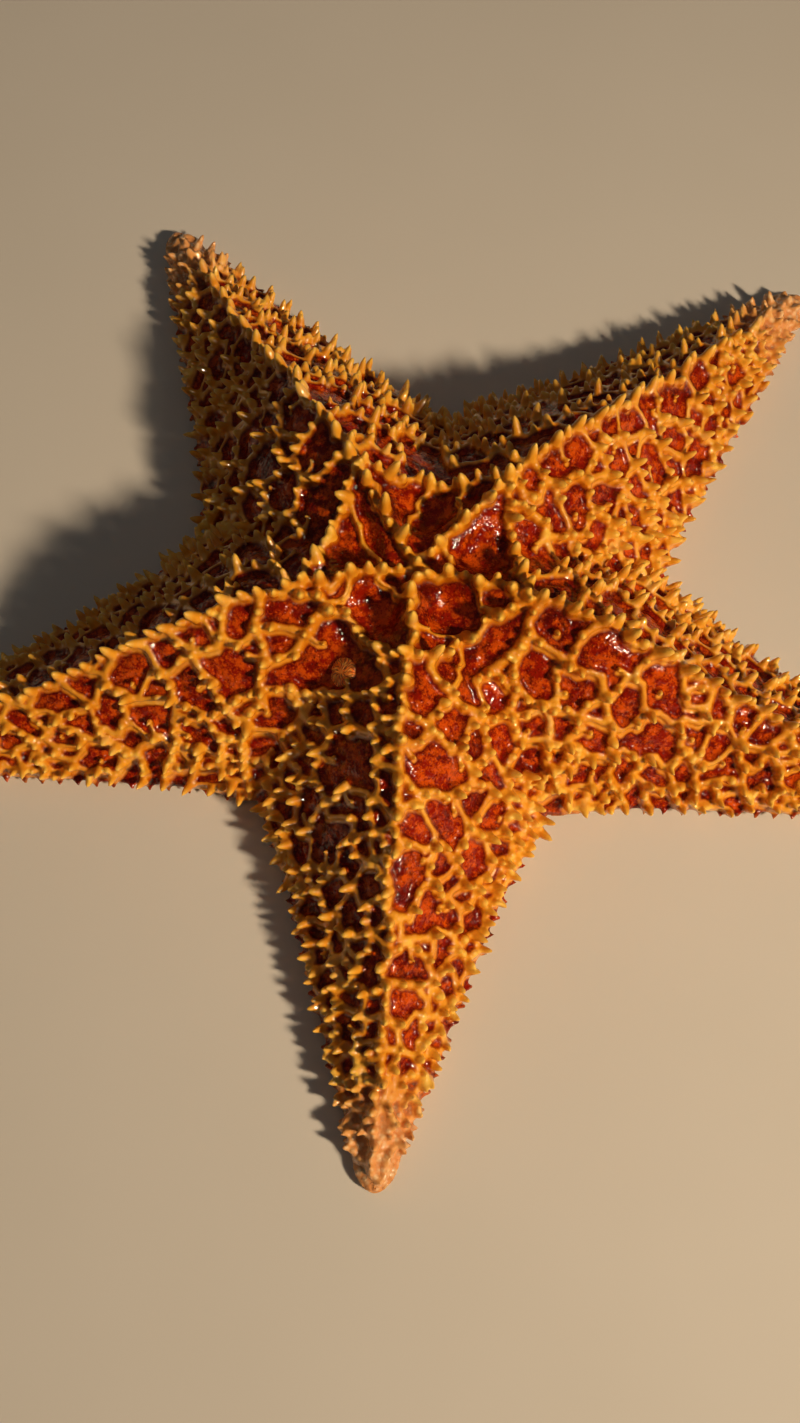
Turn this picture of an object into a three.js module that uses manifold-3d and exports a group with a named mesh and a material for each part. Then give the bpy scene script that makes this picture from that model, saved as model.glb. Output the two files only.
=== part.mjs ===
// A cushion sea star at rest: a domed disc, five roof-shaped arms with blunt tips, rows of short
// conical spines, a sieve plate on the upper side and a mouth with five grooves underneath.
// Millimetres, +Z up. The star lies on the plane z = 0.
import * as THREE from "three";
import { mergeVertices } from "three/addons/utils/BufferGeometryUtils.js";
import Module from "manifold-3d";

// Driving dimensions
const RADIUS = 150; // nominal distance from the disc's centre to an arm's tip
const ARMS = [
  // azimuth in degrees, length as a share of RADIUS, sideways bend of the tip
  { azimuth: 42.2, share: 1.03, bend: 0 },
  { azimuth: 120.2, share: 0.975, bend: -3 },
  { azimuth: 193.3, share: 1.009, bend: 2 },
  { azimuth: 264.6, share: 0.996, bend: 2 },
  { azimuth: 339.2, share: 0.998, bend: 0 },
];
const GAP = 0.3; // between neighbouring pieces
const ARM_START = 62; // distance from the centre at which an arm leaves the disc
const TIP_SHARE = 0.925; // share of an arm's length at which its tip piece begins

// Outline: half the arm's width falls evenly from root to tip, and the tip is round
const ROOT_HALF_WIDTH = 0.36 * RADIUS;
const WIDTH_TAPER = 0.34 * RADIUS;
const TIP_ROUNDING_FROM = 0.93;
const WEB_HALF_WIDTH = 2.2; // skin that rounds off the corner between two arms
const WEB_CENTRE = 55;
const WEB_LENGTH = 11;

// Upper side: a low crown in the middle, a hump where the arm begins, then an even fall
const CROWN_HEIGHT = 0.285 * RADIUS;
const HUMP_RISE = 0.33 * RADIUS;
const HUMP_FALL = 0.8 * RADIUS;
const HUMP_TO_ARM = [0.3, 0.65]; // shares of the way out between which the hump becomes the arm
const ARM_FALL = 0.34 * RADIUS;
const TIP_HEIGHT = 0.03 * RADIUS;
const MARGIN_HEIGHT = 0.045 * RADIUS;
const MARGIN_FALL = 0.022 * RADIUS;
const VALLEY_WIDTH = 5;
const CREST_RADIUS = 2.5; // rounding of the ridge along each arm
const FLANK_POWER = [0.6, 0.95]; // under 1 is a bulging flank: at the disc, and along the arm
const FLANK_RANGE = [0.1, 0.6]; // shares of the way out between which the flank changes
const HOLLOW_DEPTH = 3.3; // five hollows round the middle of the crown
const HOLLOW_RADIUS = 14.5;
const HOLLOW_WIDTH = 6.5;
const HOLLOW_EDGE = [2, 6.5]; // distance from a ridge at which a hollow begins and is full
const NORMAL_STEP = 1.5; // half the length over which the slope is measured

// Under side
const LIP_HEIGHT = 1.2; // how far the skin beside a groove clears the floor, off the pads
const RIM_HEIGHT = 2.4;
const RIM_TAPER = 0.3; // share by which the rim is lower at the tip
const RIM_INSET = 0.95; // the under side's share of the width
const GROOVE_HALF_WIDTH = 4.2;
const GROOVE_TIP_HALF_WIDTH = 1.4;
const GROOVE_DEPTH = 5;
const GROOVE_TAPER = 0.6; // share by which the groove is shallower at the tip
const GROOVE_END = [0.86, 0.94]; // shares of the arm between which the groove closes
const GROOVE_MOST = 0.4; // the groove and the pad never take more of the width than these
const PAD_MOST = 0.75;
const PAD_WIDTH = 8;
const PAD_RANGE = [0.72, 0.86]; // share of the arm's length that the two flat pads cover
const MOUTH_RADIUS = 9;
const MOUTH_DEPTH = 6.5;
const MOUTH_SIDES = 15;
const MOUTH_HOLLOW = { radius: 2.4, height: 1.9, top: 3.8 }; // where the skin draws in at the middle
const MOUTH_LIP = { from: 4, to: 7.5, height: 1.4 }; // the level ring of the jaws
const MOUTH_EDGE_HEIGHT = 2.6;
const POCKET_CLEAR = { below: 1, above: 6 }; // how far a pocket's cutter passes the skin

// Sieve plate: a flat stud with a low domed top
const SIEVE = { azimuth: 234.3, distance: 32.7, radius: 3.7, sink: 2, rise: 0.9, shoulder: 0.75, sides: 16 };

// Spines
const LAST_SPINE = 0.93; // share of the arm past which there are no more spines
const SPINE_FOOT = 1.5; // how deep a spine is rooted
const CREST_SPINE = { first: 8.5, step: [8.2, 7], length: [5.8, 3.9], radius: [1.8, 1.3], sides: 5 };
const RING_SPINE = { distance: 29, share: [0.24, 0.5, 0.76], length: 5.2, radius: 1.7, sides: 5 };
const FLANK_SPINE = { rows: [0.36, 0.68], first: 44, step: [12.4, 9.4], length: [4.8, 3.3],
  radius: [1.5, 1.1], sides: 4 };
const FLANK_LIMIT = 0.9; // rows beyond this share stop at the corner between two arms
const MARGIN_SPINE = { row: 0.965, first: 58, step: [9.6, 8], length: [5, 3],
  radius: [1.5, 1.1], sides: 4 };

// Fineness of the faceted surfaces, and of the sums
const INNER_ROWS = 5;
const OUTER_ROWS = 12;
const ROUND_ROWS = 3;
const STRIPS = 4;
const WELD = 1e-3; // corners closer than this are one corner
const TINY = 1e-9; // keeps a width of zero from being divided by
const CORNER_ROUNDS = 40; // halvings in the search for the corner between two arms

const FINISHES = {
  disc: { colour: 0xa8431a, roughness: 0.35 },
  arm: { colour: 0xb85a1e, roughness: 0.35 },
  tip: { colour: 0xe0b080, roughness: 0.4 },
  sieve: { colour: 0xb06a2a, roughness: 0.45 },
  mouth: { colour: 0xd8a878, roughness: 0.5 },
};

const wasm = await Module();
wasm.setup();

const radians = THREE.MathUtils.degToRad;
const mix = THREE.MathUtils.lerp;

function smoothStep(x, from, to) {
  return THREE.MathUtils.smoothstep(x, from, to);
}

// An arm with its direction worked out, and its own coordinates: s along it, t to its left
function makeArm({ azimuth, share, bend }, index) {
  const angle = radians(azimuth);
  return { index, angle, cos: Math.cos(angle), sin: Math.sin(angle), length: share * RADIUS, bend };
}

const arms = ARMS.map(makeArm);

function bendAt(arm, s) {
  return arm.bend * Math.max(0, s / arm.length) ** 2;
}

function toPlan(arm, s, t) {
  const left = t + bendAt(arm, s);
  return { x: s * arm.cos - left * arm.sin, y: s * arm.sin + left * arm.cos };
}

function toArm(arm, x, y) {
  const s = x * arm.cos + y * arm.sin;
  return { s, t: y * arm.cos - x * arm.sin - bendAt(arm, s) };
}

function halfWidth(arm, s) {
  const u = s / arm.length;
  const taper = ROOT_HALF_WIDTH - WIDTH_TAPER * Math.min(u, TIP_ROUNDING_FROM);
  const web = WEB_HALF_WIDTH * Math.exp(-(((s - WEB_CENTRE) / WEB_LENGTH) ** 2));
  const past = Math.max(0, u - TIP_ROUNDING_FROM) / (1 - TIP_ROUNDING_FROM);
  return (taper + web) * Math.sqrt(Math.max(0, 1 - past * past));
}

// Where an arm's margin would meet the line at an angle `half` from the arm
function marginDistance(arm, half) {
  let s = ARM_START;
  for (let round = 0; round < CORNER_ROUNDS; round += 1) {
    s = mix(s, halfWidth(arm, s) / Math.tan(half), 0.5);
  }
  return s / Math.cos(half);
}

// The corner between an arm and its neighbour on one side (+1 left, -1 right) lies on the line
// halfway between the two
function makeCorner(arm, side) {
  const next = arms[(arm.index + side + arms.length) % arms.length];
  const between = THREE.MathUtils.euclideanModulo((next.angle - arm.angle) * side, 2 * Math.PI);
  const half = between / 2;
  const distance = (marginDistance(arm, half) + marginDistance(next, half)) / 2;
  return { half, direction: arm.angle + side * half, distance, s: distance * Math.cos(half) };
}

const corners = arms.map((arm) => ({ 1: makeCorner(arm, 1), "-1": makeCorner(arm, -1) }));

// Height of the ridge line at a share u of the way to the tip
function ridgeHeight(u) {
  const hump = CROWN_HEIGHT + HUMP_RISE * u - HUMP_FALL * u * u;
  const fall = TIP_HEIGHT + ARM_FALL * (1 - u);
  return mix(hump, fall, smoothStep(u, ...HUMP_TO_ARM));
}

function marginHeight(u) {
  return MARGIN_HEIGHT - MARGIN_FALL * u;
}

// Height of the upper side over a point of the plan. Where two arms are about equally near, the
// valley between them is rounded and the lengths of both count.
function topHeight(x, y) {
  let inset = 0;
  const ridges = [];
  for (const arm of arms) {
    const { s, t } = toArm(arm, x, y);
    if (s >= 0) inset = Math.max(inset, halfWidth(arm, s) - Math.abs(t));
    ridges.push({ off: s > 0 ? Math.abs(t) : Math.hypot(s, t), length: arm.length });
  }
  const [first, second] = ridges.sort((a, b) => a.off - b.off);
  const near = Math.max(0, 1 - (second.off - first.off) / VALLEY_WIDTH);
  const u = Math.hypot(x, y) / mix(first.length, second.length, near / 2);
  const ridge = Math.max(0, first.off - (near * near * VALLEY_WIDTH) / 4);
  const round = Math.hypot(ridge, CREST_RADIUS) - CREST_RADIUS;
  const share = inset > 0 ? inset / (inset + round) : 0;
  const power = mix(...FLANK_POWER, smoothStep(u, ...FLANK_RANGE));
  const low = marginHeight(u);
  const hollow = Math.exp(-(((Math.hypot(x, y) - HOLLOW_RADIUS) / HOLLOW_WIDTH) ** 2));
  const sink = HOLLOW_DEPTH * hollow * smoothStep(ridge, ...HOLLOW_EDGE);
  return low + (ridgeHeight(Math.min(u, 1)) - low) * share ** power - sink;
}

function topPoint(x, y) {
  return new THREE.Vector3(x, y, topHeight(x, y));
}

function topNormal(x, y) {
  const step = NORMAL_STEP;
  const slopeX = (topHeight(x + step, y) - topHeight(x - step, y)) / (2 * step);
  const slopeY = (topHeight(x, y + step) - topHeight(x, y - step)) / (2 * step);
  return new THREE.Vector3(-slopeX, -slopeY, 1).normalize();
}

// Rows run from the centre to the tip, from the ridge line to the line halfway to the next arm
// and, past the corner between the arms, to the margin
function rowEnds(arm, side, row) {
  const edge = corners[arm.index][side];
  if (row <= INNER_ROWS) {
    const share = row / INNER_ROWS;
    return {
      ridge: toPlan(arm, share * WEB_CENTRE, 0),
      edge: {
        x: share * edge.distance * Math.cos(edge.direction),
        y: share * edge.distance * Math.sin(edge.direction),
      },
      along: (share * WEB_CENTRE) / RADIUS,
    };
  }
  const share = outerShare(row - INNER_ROWS);
  const s = mix(edge.s, arm.length, share);
  const ridgeS = mix(WEB_CENTRE, arm.length, share);
  return {
    ridge: toPlan(arm, ridgeS, 0),
    edge: toPlan(arm, s, side * halfWidth(arm, s)),
    along: mix(WEB_CENTRE / RADIUS, 1, share),
  };
}

// Rows past the corner are even as far as the round tip, which has rows at even angles
function outerShare(row) {
  const roundFrom = 1 - ((1 - TIP_ROUNDING_FROM) * RADIUS) / (RADIUS - WEB_CENTRE);
  const even = OUTER_ROWS - ROUND_ROWS;
  if (row <= even) return (roundFrom * row) / even;
  return mix(roundFrom, 1, Math.sin((Math.PI / 2) * ((row - even) / ROUND_ROWS)));
}

function across(ends, share) {
  return {
    x: mix(ends.ridge.x, ends.edge.x, share),
    y: mix(ends.ridge.y, ends.edge.y, share),
  };
}

function topRow(arm, side, row) {
  const ends = rowEnds(arm, side, row);
  const points = [];
  for (let strip = 0; strip <= STRIPS; strip += 1) {
    const { x, y } = across(ends, strip / STRIPS);
    points.push(topPoint(x, y));
  }
  return points;
}

// Across the under side: the groove's bed, its lip, a level strip beside it, and the rim
function underRow(arm, side, row) {
  const ends = rowEnds(arm, side, row);
  const width = Math.hypot(ends.edge.x - ends.ridge.x, ends.edge.y - ends.ridge.y) + TINY;
  const groove = mix(GROOVE_HALF_WIDTH, GROOVE_TIP_HALF_WIDTH, ends.along);
  const onPad = ends.along > PAD_RANGE[0] && ends.along < PAD_RANGE[1];
  const lip = onPad ? 0 : LIP_HEIGHT;
  const open = 1 - smoothStep(ends.along, ...GROOVE_END);
  const lipShare = Math.min(groove / width, GROOVE_MOST);
  const padShare = Math.min((groove + PAD_WIDTH) / width, PAD_MOST);
  const rim = row <= INNER_ROWS ? 1 : RIM_INSET;
  const profile = [
    [0, lip + GROOVE_DEPTH * (1 - GROOVE_TAPER * ends.along) * open],
    [lipShare, lip],
    [padShare, lip],
    [rim, RIM_HEIGHT * (1 - RIM_TAPER * ends.along)],
  ];
  return profile.map(([share, z]) => {
    const { x, y } = across(ends, share);
    return new THREE.Vector3(x, y, row === 0 ? MOUTH_DEPTH : z);
  });
}

function addStrip(triangles, first, second, flip) {
  for (let i = 0; i + 1 < first.length; i += 1) {
    const quad = [first[i], second[i], second[i + 1], first[i + 1]];
    if (flip) quad.reverse();
    triangles.push([quad[0], quad[1], quad[2]], [quad[0], quad[2], quad[3]]);
  }
}

// One closed solid of the whole body without spines
function bodySolid() {
  const triangles = [];
  const rows = INNER_ROWS + OUTER_ROWS;
  for (const arm of arms) {
    for (const side of [1, -1]) {
      for (let row = 0; row < rows; row += 1) {
        const top = [topRow(arm, side, row), topRow(arm, side, row + 1)];
        const under = [underRow(arm, side, row), underRow(arm, side, row + 1)];
        addStrip(triangles, top[0], top[1], side < 0);
        addStrip(triangles, under[0], under[1], side > 0);
        if (row >= INNER_ROWS) {
          const rim = [0, 1].map((k) => [top[k].at(-1), under[k].at(-1)]);
          addStrip(triangles, rim[0], rim[1], side < 0);
        }
      }
    }
  }
  return solidOf(trianglesToGeometry(triangles));
}

function trianglesToGeometry(triangles) {
  const flat = triangles.flat().flatMap((p) => [p.x, p.y, p.z]);
  const geometry = new THREE.BufferGeometry();
  geometry.setAttribute("position", new THREE.Float32BufferAttribute(flat, 3));
  return geometry;
}

// A closed geometry as a solid: shared corners are merged and collapsed triangles dropped
function solidOf(geometry) {
  const bare = geometry.clone();
  bare.deleteAttribute("normal");
  bare.deleteAttribute("uv");
  const merged = mergeVertices(bare, WELD);
  const indices = merged.index.array;
  const kept = [];
  for (let i = 0; i < indices.length; i += 3) {
    const [a, b, c] = indices.slice(i, i + 3);
    if (a !== b && b !== c && c !== a) kept.push(a, b, c);
  }
  return new wasm.Manifold(
    new wasm.Mesh({
      numProp: 3,
      vertProperties: new Float32Array(merged.attributes.position.array),
      triVerts: new Uint32Array(kept),
    }),
  );
}

function geometryOf(solid) {
  const mesh = solid.getMesh();
  const geometry = new THREE.BufferGeometry();
  geometry.setAttribute("position", new THREE.BufferAttribute(mesh.vertProperties, 3));
  geometry.setIndex(new THREE.BufferAttribute(mesh.triVerts, 1));
  return geometry;
}

// A cut can leave crumbs of a spine that leans over the gap: only the main piece is kept
function mainPiece(solid) {
  const pieces = solid.decompose();
  return pieces.reduce((best, piece) => (piece.volume() > best.volume() ? piece : best));
}

// A spine stands square to the skin, rooted a little way in
function spine(x, y, length, radius, sides) {
  const cone = new THREE.ConeGeometry(radius, length + SPINE_FOOT, sides);
  cone.translate(0, (length - SPINE_FOOT) / 2, 0);
  const normal = topNormal(x, y);
  const turn = new THREE.Quaternion().setFromUnitVectors(new THREE.Vector3(0, 1, 0), normal);
  cone.applyQuaternion(turn);
  const foot = topPoint(x, y);
  cone.translate(foot.x, foot.y, foot.z);
  return solidOf(cone);
}

// Distances along an arm from the first spine on, with steps that shrink towards the tip
function stations(arm, first, step) {
  const places = [];
  let s = first;
  while (s < LAST_SPINE * arm.length) {
    places.push(s);
    s += mix(...step, s / arm.length);
  }
  return places;
}

function crestSpines(arm) {
  const { first, step, length, radius, sides } = CREST_SPINE;
  return stations(arm, first, step).map((s) => {
    const { x, y } = toPlan(arm, s, 0);
    const u = s / arm.length;
    return spine(x, y, mix(...length, u), mix(...radius, u), sides);
  });
}

// A row of spines on one side of an arm, at a fixed share of the way from ridge to margin
function sideSpines(arm, side, row, { first, step, length, radius, sides }, phase) {
  return stations(arm, first, step).flatMap((start) => {
    const s = start + phase;
    const u = s / arm.length;
    const edge = corners[arm.index][side];
    if (s < edge.s && row > FLANK_LIMIT) return [];
    const limit = Math.min(halfWidth(arm, s), s * Math.tan(edge.half));
    const { x, y } = toPlan(arm, s, side * row * limit);
    return [spine(x, y, mix(...length, u), mix(...radius, u), sides)];
  });
}

// Spines on the ring that joins the five ridges round the crown
function ringSpines(arm) {
  const { distance, share, length, radius, sides } = RING_SPINE;
  const next = arms[(arm.index + 1) % arms.length];
  const from = toPlan(arm, distance, 0);
  const to = toPlan(next, distance, 0);
  return share.map((k) => spine(mix(from.x, to.x, k), mix(from.y, to.y, k), length, radius, sides));
}

function allSpines() {
  const spines = [];
  for (const arm of arms) {
    spines.push(...crestSpines(arm), ...ringSpines(arm));
    for (const side of [1, -1]) {
      FLANK_SPINE.rows.forEach((row, k) => {
        spines.push(...sideSpines(arm, side, row, FLANK_SPINE, (k * FLANK_SPINE.step[0]) / 2));
      });
      spines.push(...sideSpines(arm, side, MARGIN_SPINE.row, MARGIN_SPINE, 0));
    }
  }
  return spines;
}

// A block over an arm that begins at a distance from the centre and takes in all beyond it
function beyond(arm, distance) {
  const size = 2 * RADIUS;
  const block = new THREE.BoxGeometry(size, size, size);
  block.translate(distance + size / 2, 0, 0);
  block.rotateZ(arm.angle);
  return solidOf(block);
}

// A turned solid that stands upright on the plan, from a profile of radius and height
function turned(profile, segments) {
  const points = profile.map(([radius, height]) => new THREE.Vector2(radius, height));
  const lathe = new THREE.LatheGeometry(points, segments);
  lathe.rotateX(Math.PI / 2);
  return lathe;
}

// The profile of a plain drum between two heights
function drum(radius, bottom, top) {
  return [[0, bottom], [radius, bottom], [radius, top], [0, top]];
}

function mouthGeometry() {
  const top = MOUTH_DEPTH - GAP;
  const profile = [
    [0, MOUTH_HOLLOW.top],
    [MOUTH_HOLLOW.radius, MOUTH_HOLLOW.height],
    [MOUTH_LIP.from, MOUTH_LIP.height],
    [MOUTH_LIP.to, MOUTH_LIP.height],
    [MOUTH_RADIUS, MOUTH_EDGE_HEIGHT],
    [MOUTH_RADIUS, top],
    [0, top],
  ];
  return turned(profile, MOUTH_SIDES);
}

function mouthPocket() {
  const radius = MOUTH_RADIUS + GAP;
  return solidOf(turned(drum(radius, -POCKET_CLEAR.below, MOUTH_DEPTH), MOUTH_SIDES));
}

// The sieve plate lies in a pocket sunk square to the skin
function atSieve(geometry) {
  const angle = radians(SIEVE.azimuth);
  const x = SIEVE.distance * Math.cos(angle);
  const y = SIEVE.distance * Math.sin(angle);
  const upright = new THREE.Vector3(0, 0, 1);
  geometry.applyQuaternion(new THREE.Quaternion().setFromUnitVectors(upright, topNormal(x, y)));
  const foot = topPoint(x, y);
  geometry.translate(foot.x, foot.y, foot.z);
  return geometry;
}

function sieveGeometry() {
  const { radius, sink, rise, shoulder, sides } = SIEVE;
  const profile = [
    [0, -sink],
    [radius, -sink],
    [radius, 0],
    [shoulder * radius, shoulder * rise],
    [0, rise],
  ];
  return atSieve(turned(profile, sides));
}

function sievePocket() {
  const profile = drum(SIEVE.radius + GAP, -SIEVE.sink - GAP, POCKET_CLEAR.above);
  return solidOf(atSieve(turned(profile, SIEVE.sides)));
}

function piece(name, geometry, { colour, roughness }) {
  const material = new THREE.MeshStandardMaterial({ color: colour, roughness, metalness: 0 });
  const mesh = new THREE.Mesh(geometry, material);
  mesh.name = name;
  return mesh;
}

function makeStar() {
  const star = new THREE.Group();
  const body = allSpines().reduce((joined, one) => joined.add(one), bodySolid());

  let disc = body;
  for (const arm of arms) {
    const number = arm.index + 1;
    const tipStart = TIP_SHARE * arm.length;
    const whole = body.intersect(beyond(arm, ARM_START + GAP / 2));
    const limb = whole.subtract(beyond(arm, tipStart - GAP / 2));
    const tip = whole.intersect(beyond(arm, tipStart + GAP / 2));
    star.add(piece(`arm_${number}`, geometryOf(mainPiece(limb)), FINISHES.arm));
    star.add(piece(`arm_tip_${number}`, geometryOf(mainPiece(tip)), FINISHES.tip));
    disc = disc.subtract(beyond(arm, ARM_START - GAP / 2));
  }
  disc = mainPiece(disc.subtract(mouthPocket()).subtract(sievePocket()));
  star.add(piece("disc", geometryOf(disc), FINISHES.disc));
  star.add(piece("mouth", mouthGeometry(), FINISHES.mouth));
  star.add(piece("sieve_plate", sieveGeometry(), FINISHES.sieve));
  return star;
}

// The origin is the middle of the star's outer box, on the floor
const starfish = new THREE.Group();
const star = makeStar();
const middle = new THREE.Box3().setFromObject(star).getCenter(new THREE.Vector3());
star.position.set(-middle.x, -middle.y, 0);
starfish.add(star);

export default starfish;
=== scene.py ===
# %% [markdown]
# # A red cushion sea star
#
# This lesson dresses the plain solids of a sea star in its real skin. The animal is a stiff net of
# lime rods under a thin wet skin: the net shows as orange ridges, its knots carry blunt cones, and
# the soft dark red skin between the ridges is sunken and finely grained.
#
# A net with cones on it could be painted on a smooth body with bump alone, but then the outline
# stays smooth. Here the ridges and cones are real shapes. They are joined with the body into one
# closed skin by a voxel remesh, which also rounds every inner corner as flesh would. The first cell
# loads the plain solids and keeps their box, which is printed beside the finished box at the end.

import math

import bpy
import numpy as np
from mathutils import Color, Matrix, Vector


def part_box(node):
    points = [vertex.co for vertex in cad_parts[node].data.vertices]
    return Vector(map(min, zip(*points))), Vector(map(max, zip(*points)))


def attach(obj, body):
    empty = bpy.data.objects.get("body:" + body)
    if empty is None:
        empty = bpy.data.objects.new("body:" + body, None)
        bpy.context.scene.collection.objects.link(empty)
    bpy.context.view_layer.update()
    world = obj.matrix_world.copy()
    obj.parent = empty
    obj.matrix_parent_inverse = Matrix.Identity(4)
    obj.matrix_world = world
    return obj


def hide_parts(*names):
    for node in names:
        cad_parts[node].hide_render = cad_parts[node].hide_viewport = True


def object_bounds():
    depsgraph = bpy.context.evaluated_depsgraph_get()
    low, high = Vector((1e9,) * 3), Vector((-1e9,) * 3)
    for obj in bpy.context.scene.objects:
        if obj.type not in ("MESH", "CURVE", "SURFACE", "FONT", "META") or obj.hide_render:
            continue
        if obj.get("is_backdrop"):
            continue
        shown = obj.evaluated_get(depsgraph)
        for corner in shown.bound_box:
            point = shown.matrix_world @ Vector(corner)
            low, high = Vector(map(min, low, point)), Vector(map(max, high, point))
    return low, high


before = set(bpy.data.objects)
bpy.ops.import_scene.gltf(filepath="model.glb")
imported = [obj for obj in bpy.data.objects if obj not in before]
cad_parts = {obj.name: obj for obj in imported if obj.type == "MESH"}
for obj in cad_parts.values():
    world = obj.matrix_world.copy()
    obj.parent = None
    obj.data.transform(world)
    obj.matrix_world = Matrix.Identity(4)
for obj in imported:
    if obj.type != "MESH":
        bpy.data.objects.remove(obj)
cad_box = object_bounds()
print("solids", sorted(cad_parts), "box", cad_box)

# %% [markdown]
# ## The shape of the body
#
# A sea star is five arms on one disc. Each arm has its own direction, length and slight bend, and
# everything else follows from a few curves: how wide the arm is, how high its ridge line runs, and
# how its flank falls from the ridge to the margin. Writing these as formulas means that the height
# of the skin is known anywhere, so ridges, cones and colours can all be laid on it later.
#
# Lengths here are millimetres from the middle of the disc; a mesh is scaled to metres as it is made.

# %% Two ways to pass from one value to another
def smooth_step(value, start, end):
    share = np.clip((value - start) / (end - start), 0.0, 1.0)
    return share * share * (3.0 - 2.0 * share)


def mix(first, second, share):
    return first + (second - first) * share


print("a quarter of the way: plain", mix(0.0, 1.0, 0.25), "smooth", smooth_step(0.25, 0.0, 1.0))

# %% The arms
MILLIMETRE = 0.001
RADIUS = 150.0
ARM_AZIMUTHS = (42.2, 120.2, 193.3, 264.6, 339.2)
ARM_SHARES = (1.03, 0.975, 1.009, 0.996, 0.998)
ARM_BENDS = (0.0, -3.0, 2.0, 2.0, 0.0)
ROOT_HALF_WIDTH = 0.36 * RADIUS
WIDTH_TAPER = 0.34 * RADIUS
TIP_ROUNDING_FROM = 0.93
WEB_HALF_WIDTH = 2.2
WEB_CENTRE = 55.0
WEB_LENGTH = 11.0


class Arm:
    """One arm, with its own coordinates: s along it and t to its left."""

    def __init__(self, index):
        self.index = index
        self.angle = math.radians(ARM_AZIMUTHS[index])
        self.cos = math.cos(self.angle)
        self.sin = math.sin(self.angle)
        self.length = ARM_SHARES[index] * RADIUS
        self.bend = ARM_BENDS[index]

    def bend_at(self, s):
        return self.bend * np.maximum(0.0, s / self.length) ** 2

    def to_plan(self, s, t):
        left = t + self.bend_at(s)
        return s * self.cos - left * self.sin, s * self.sin + left * self.cos

    def to_arm(self, x, y):
        s = x * self.cos + y * self.sin
        return s, y * self.cos - x * self.sin - self.bend_at(s)

    def half_width(self, s):
        u = s / self.length
        taper = ROOT_HALF_WIDTH - WIDTH_TAPER * np.minimum(u, TIP_ROUNDING_FROM)
        web = WEB_HALF_WIDTH * np.exp(-(((s - WEB_CENTRE) / WEB_LENGTH) ** 2))
        past = np.maximum(0.0, u - TIP_ROUNDING_FROM) / (1.0 - TIP_ROUNDING_FROM)
        return (taper + web) * np.sqrt(np.maximum(0.0, 1.0 - past * past))


arms = [Arm(index) for index in range(len(ARM_AZIMUTHS))]
print("arm lengths", [round(arm.length, 1) for arm in arms])

# %% [markdown]
# ## The corners between the arms
#
# Where two arms meet, the webs of skin between them end in a round corner. Its place could be read
# off a drawing, but then it would be wrong as soon as an arm is turned or widened. It is found
# instead: the point where an arm's margin crosses the line halfway to the next arm, by a search
# that moves halfway to the answer each time.

# %% Corners between the arms
ROOT_SEARCHES = 40


def margin_distance(arm, half):
    s = WEB_CENTRE
    for _ in range(ROOT_SEARCHES):
        s = (s + float(arm.half_width(s)) / math.tan(half)) / 2
    return s / math.cos(half)


def make_corner(arm, side):
    """The corner between an arm and its neighbour: half the angle, direction, distance, and s."""
    neighbour = arms[(arm.index + side) % len(arms)]
    half = ((neighbour.angle - arm.angle) * side % (2 * math.pi)) / 2
    distance = (margin_distance(arm, half) + margin_distance(neighbour, half)) / 2
    return half, arm.angle + side * half, distance, distance * math.cos(half)


corners = {(arm.index, side): make_corner(arm, side) for arm in arms for side in (1, -1)}
print("corner distances", [round(corners[(arm.index, 1)][2], 1) for arm in arms])

# %% [markdown]
# ## The height of the upper side
#
# The back of the animal is a high crown that runs down into five roof-shaped arms. Between two
# arms the roofs meet in a valley, and round the crown lies a ring of shallow hollows. One function
# gives the height for any point of the plan, from how far the point lies inside the margin, how far
# from the nearest ridge line, and how far out along the arm. A sculpted back would have to be
# measured again and again; this one can simply be asked.

# %% Height of the ridge line
CROWN_HEIGHT = 0.285 * RADIUS
HUMP_RISE = 0.33 * RADIUS
HUMP_FALL = 0.8 * RADIUS
HUMP_TO_ARM = (0.3, 0.65)
ARM_FALL = 0.34 * RADIUS
TIP_HEIGHT = 0.03 * RADIUS


def ridge_height(u):
    hump = CROWN_HEIGHT + HUMP_RISE * u - HUMP_FALL * u * u
    fall = TIP_HEIGHT + ARM_FALL * (1.0 - u)
    return mix(hump, fall, smooth_step(u, *HUMP_TO_ARM))


print("ridge at the middle, halfway and at the tip", [round(ridge_height(u), 1) for u in (0, 0.5, 1)])

# %% Where a point of the plan lies
VALLEY_WIDTH = 5.0


def survey(x, y):
    """Where a point of the plan lies: inset from the margin, distance from the ridge, share u."""
    inset = np.zeros_like(x)
    off = np.empty((len(arms),) + x.shape)
    for arm in arms:
        s, t = arm.to_arm(x, y)
        inset = np.where(s >= 0, np.maximum(inset, arm.half_width(s) - np.abs(t)), inset)
        off[arm.index] = np.where(s > 0, np.abs(t), np.hypot(s, t))
    order = np.argsort(off, axis=0)[:2]
    first = np.take_along_axis(off, order[:1], 0)[0]
    second = np.take_along_axis(off, order[1:], 0)[0]
    lengths = np.array([arm.length for arm in arms])
    near = np.maximum(0.0, 1.0 - (second - first) / VALLEY_WIDTH)
    u = np.hypot(x, y) / mix(lengths[order[0]], lengths[order[1]], near / 2)
    ridge = np.maximum(0.0, first - near * near * VALLEY_WIDTH / 4)
    return inset, ridge, u


print("the middle lies %.1f mm inside the margin" % survey(np.zeros(1), np.zeros(1))[0][0])

# %% Height of the upper side
MARGIN_HEIGHT = 0.045 * RADIUS
MARGIN_FALL = 0.022 * RADIUS
CREST_RADIUS = 2.5
FLANK_POWER = (0.6, 0.95)
POWER_RANGE = (0.1, 0.6)
HOLLOW_DEPTH = 3.3
HOLLOW_RADIUS = 14.5
HOLLOW_WIDTH = 6.5
HOLLOW_EDGE = (2.0, 6.5)
NORMAL_STEP = 1.5


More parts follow.
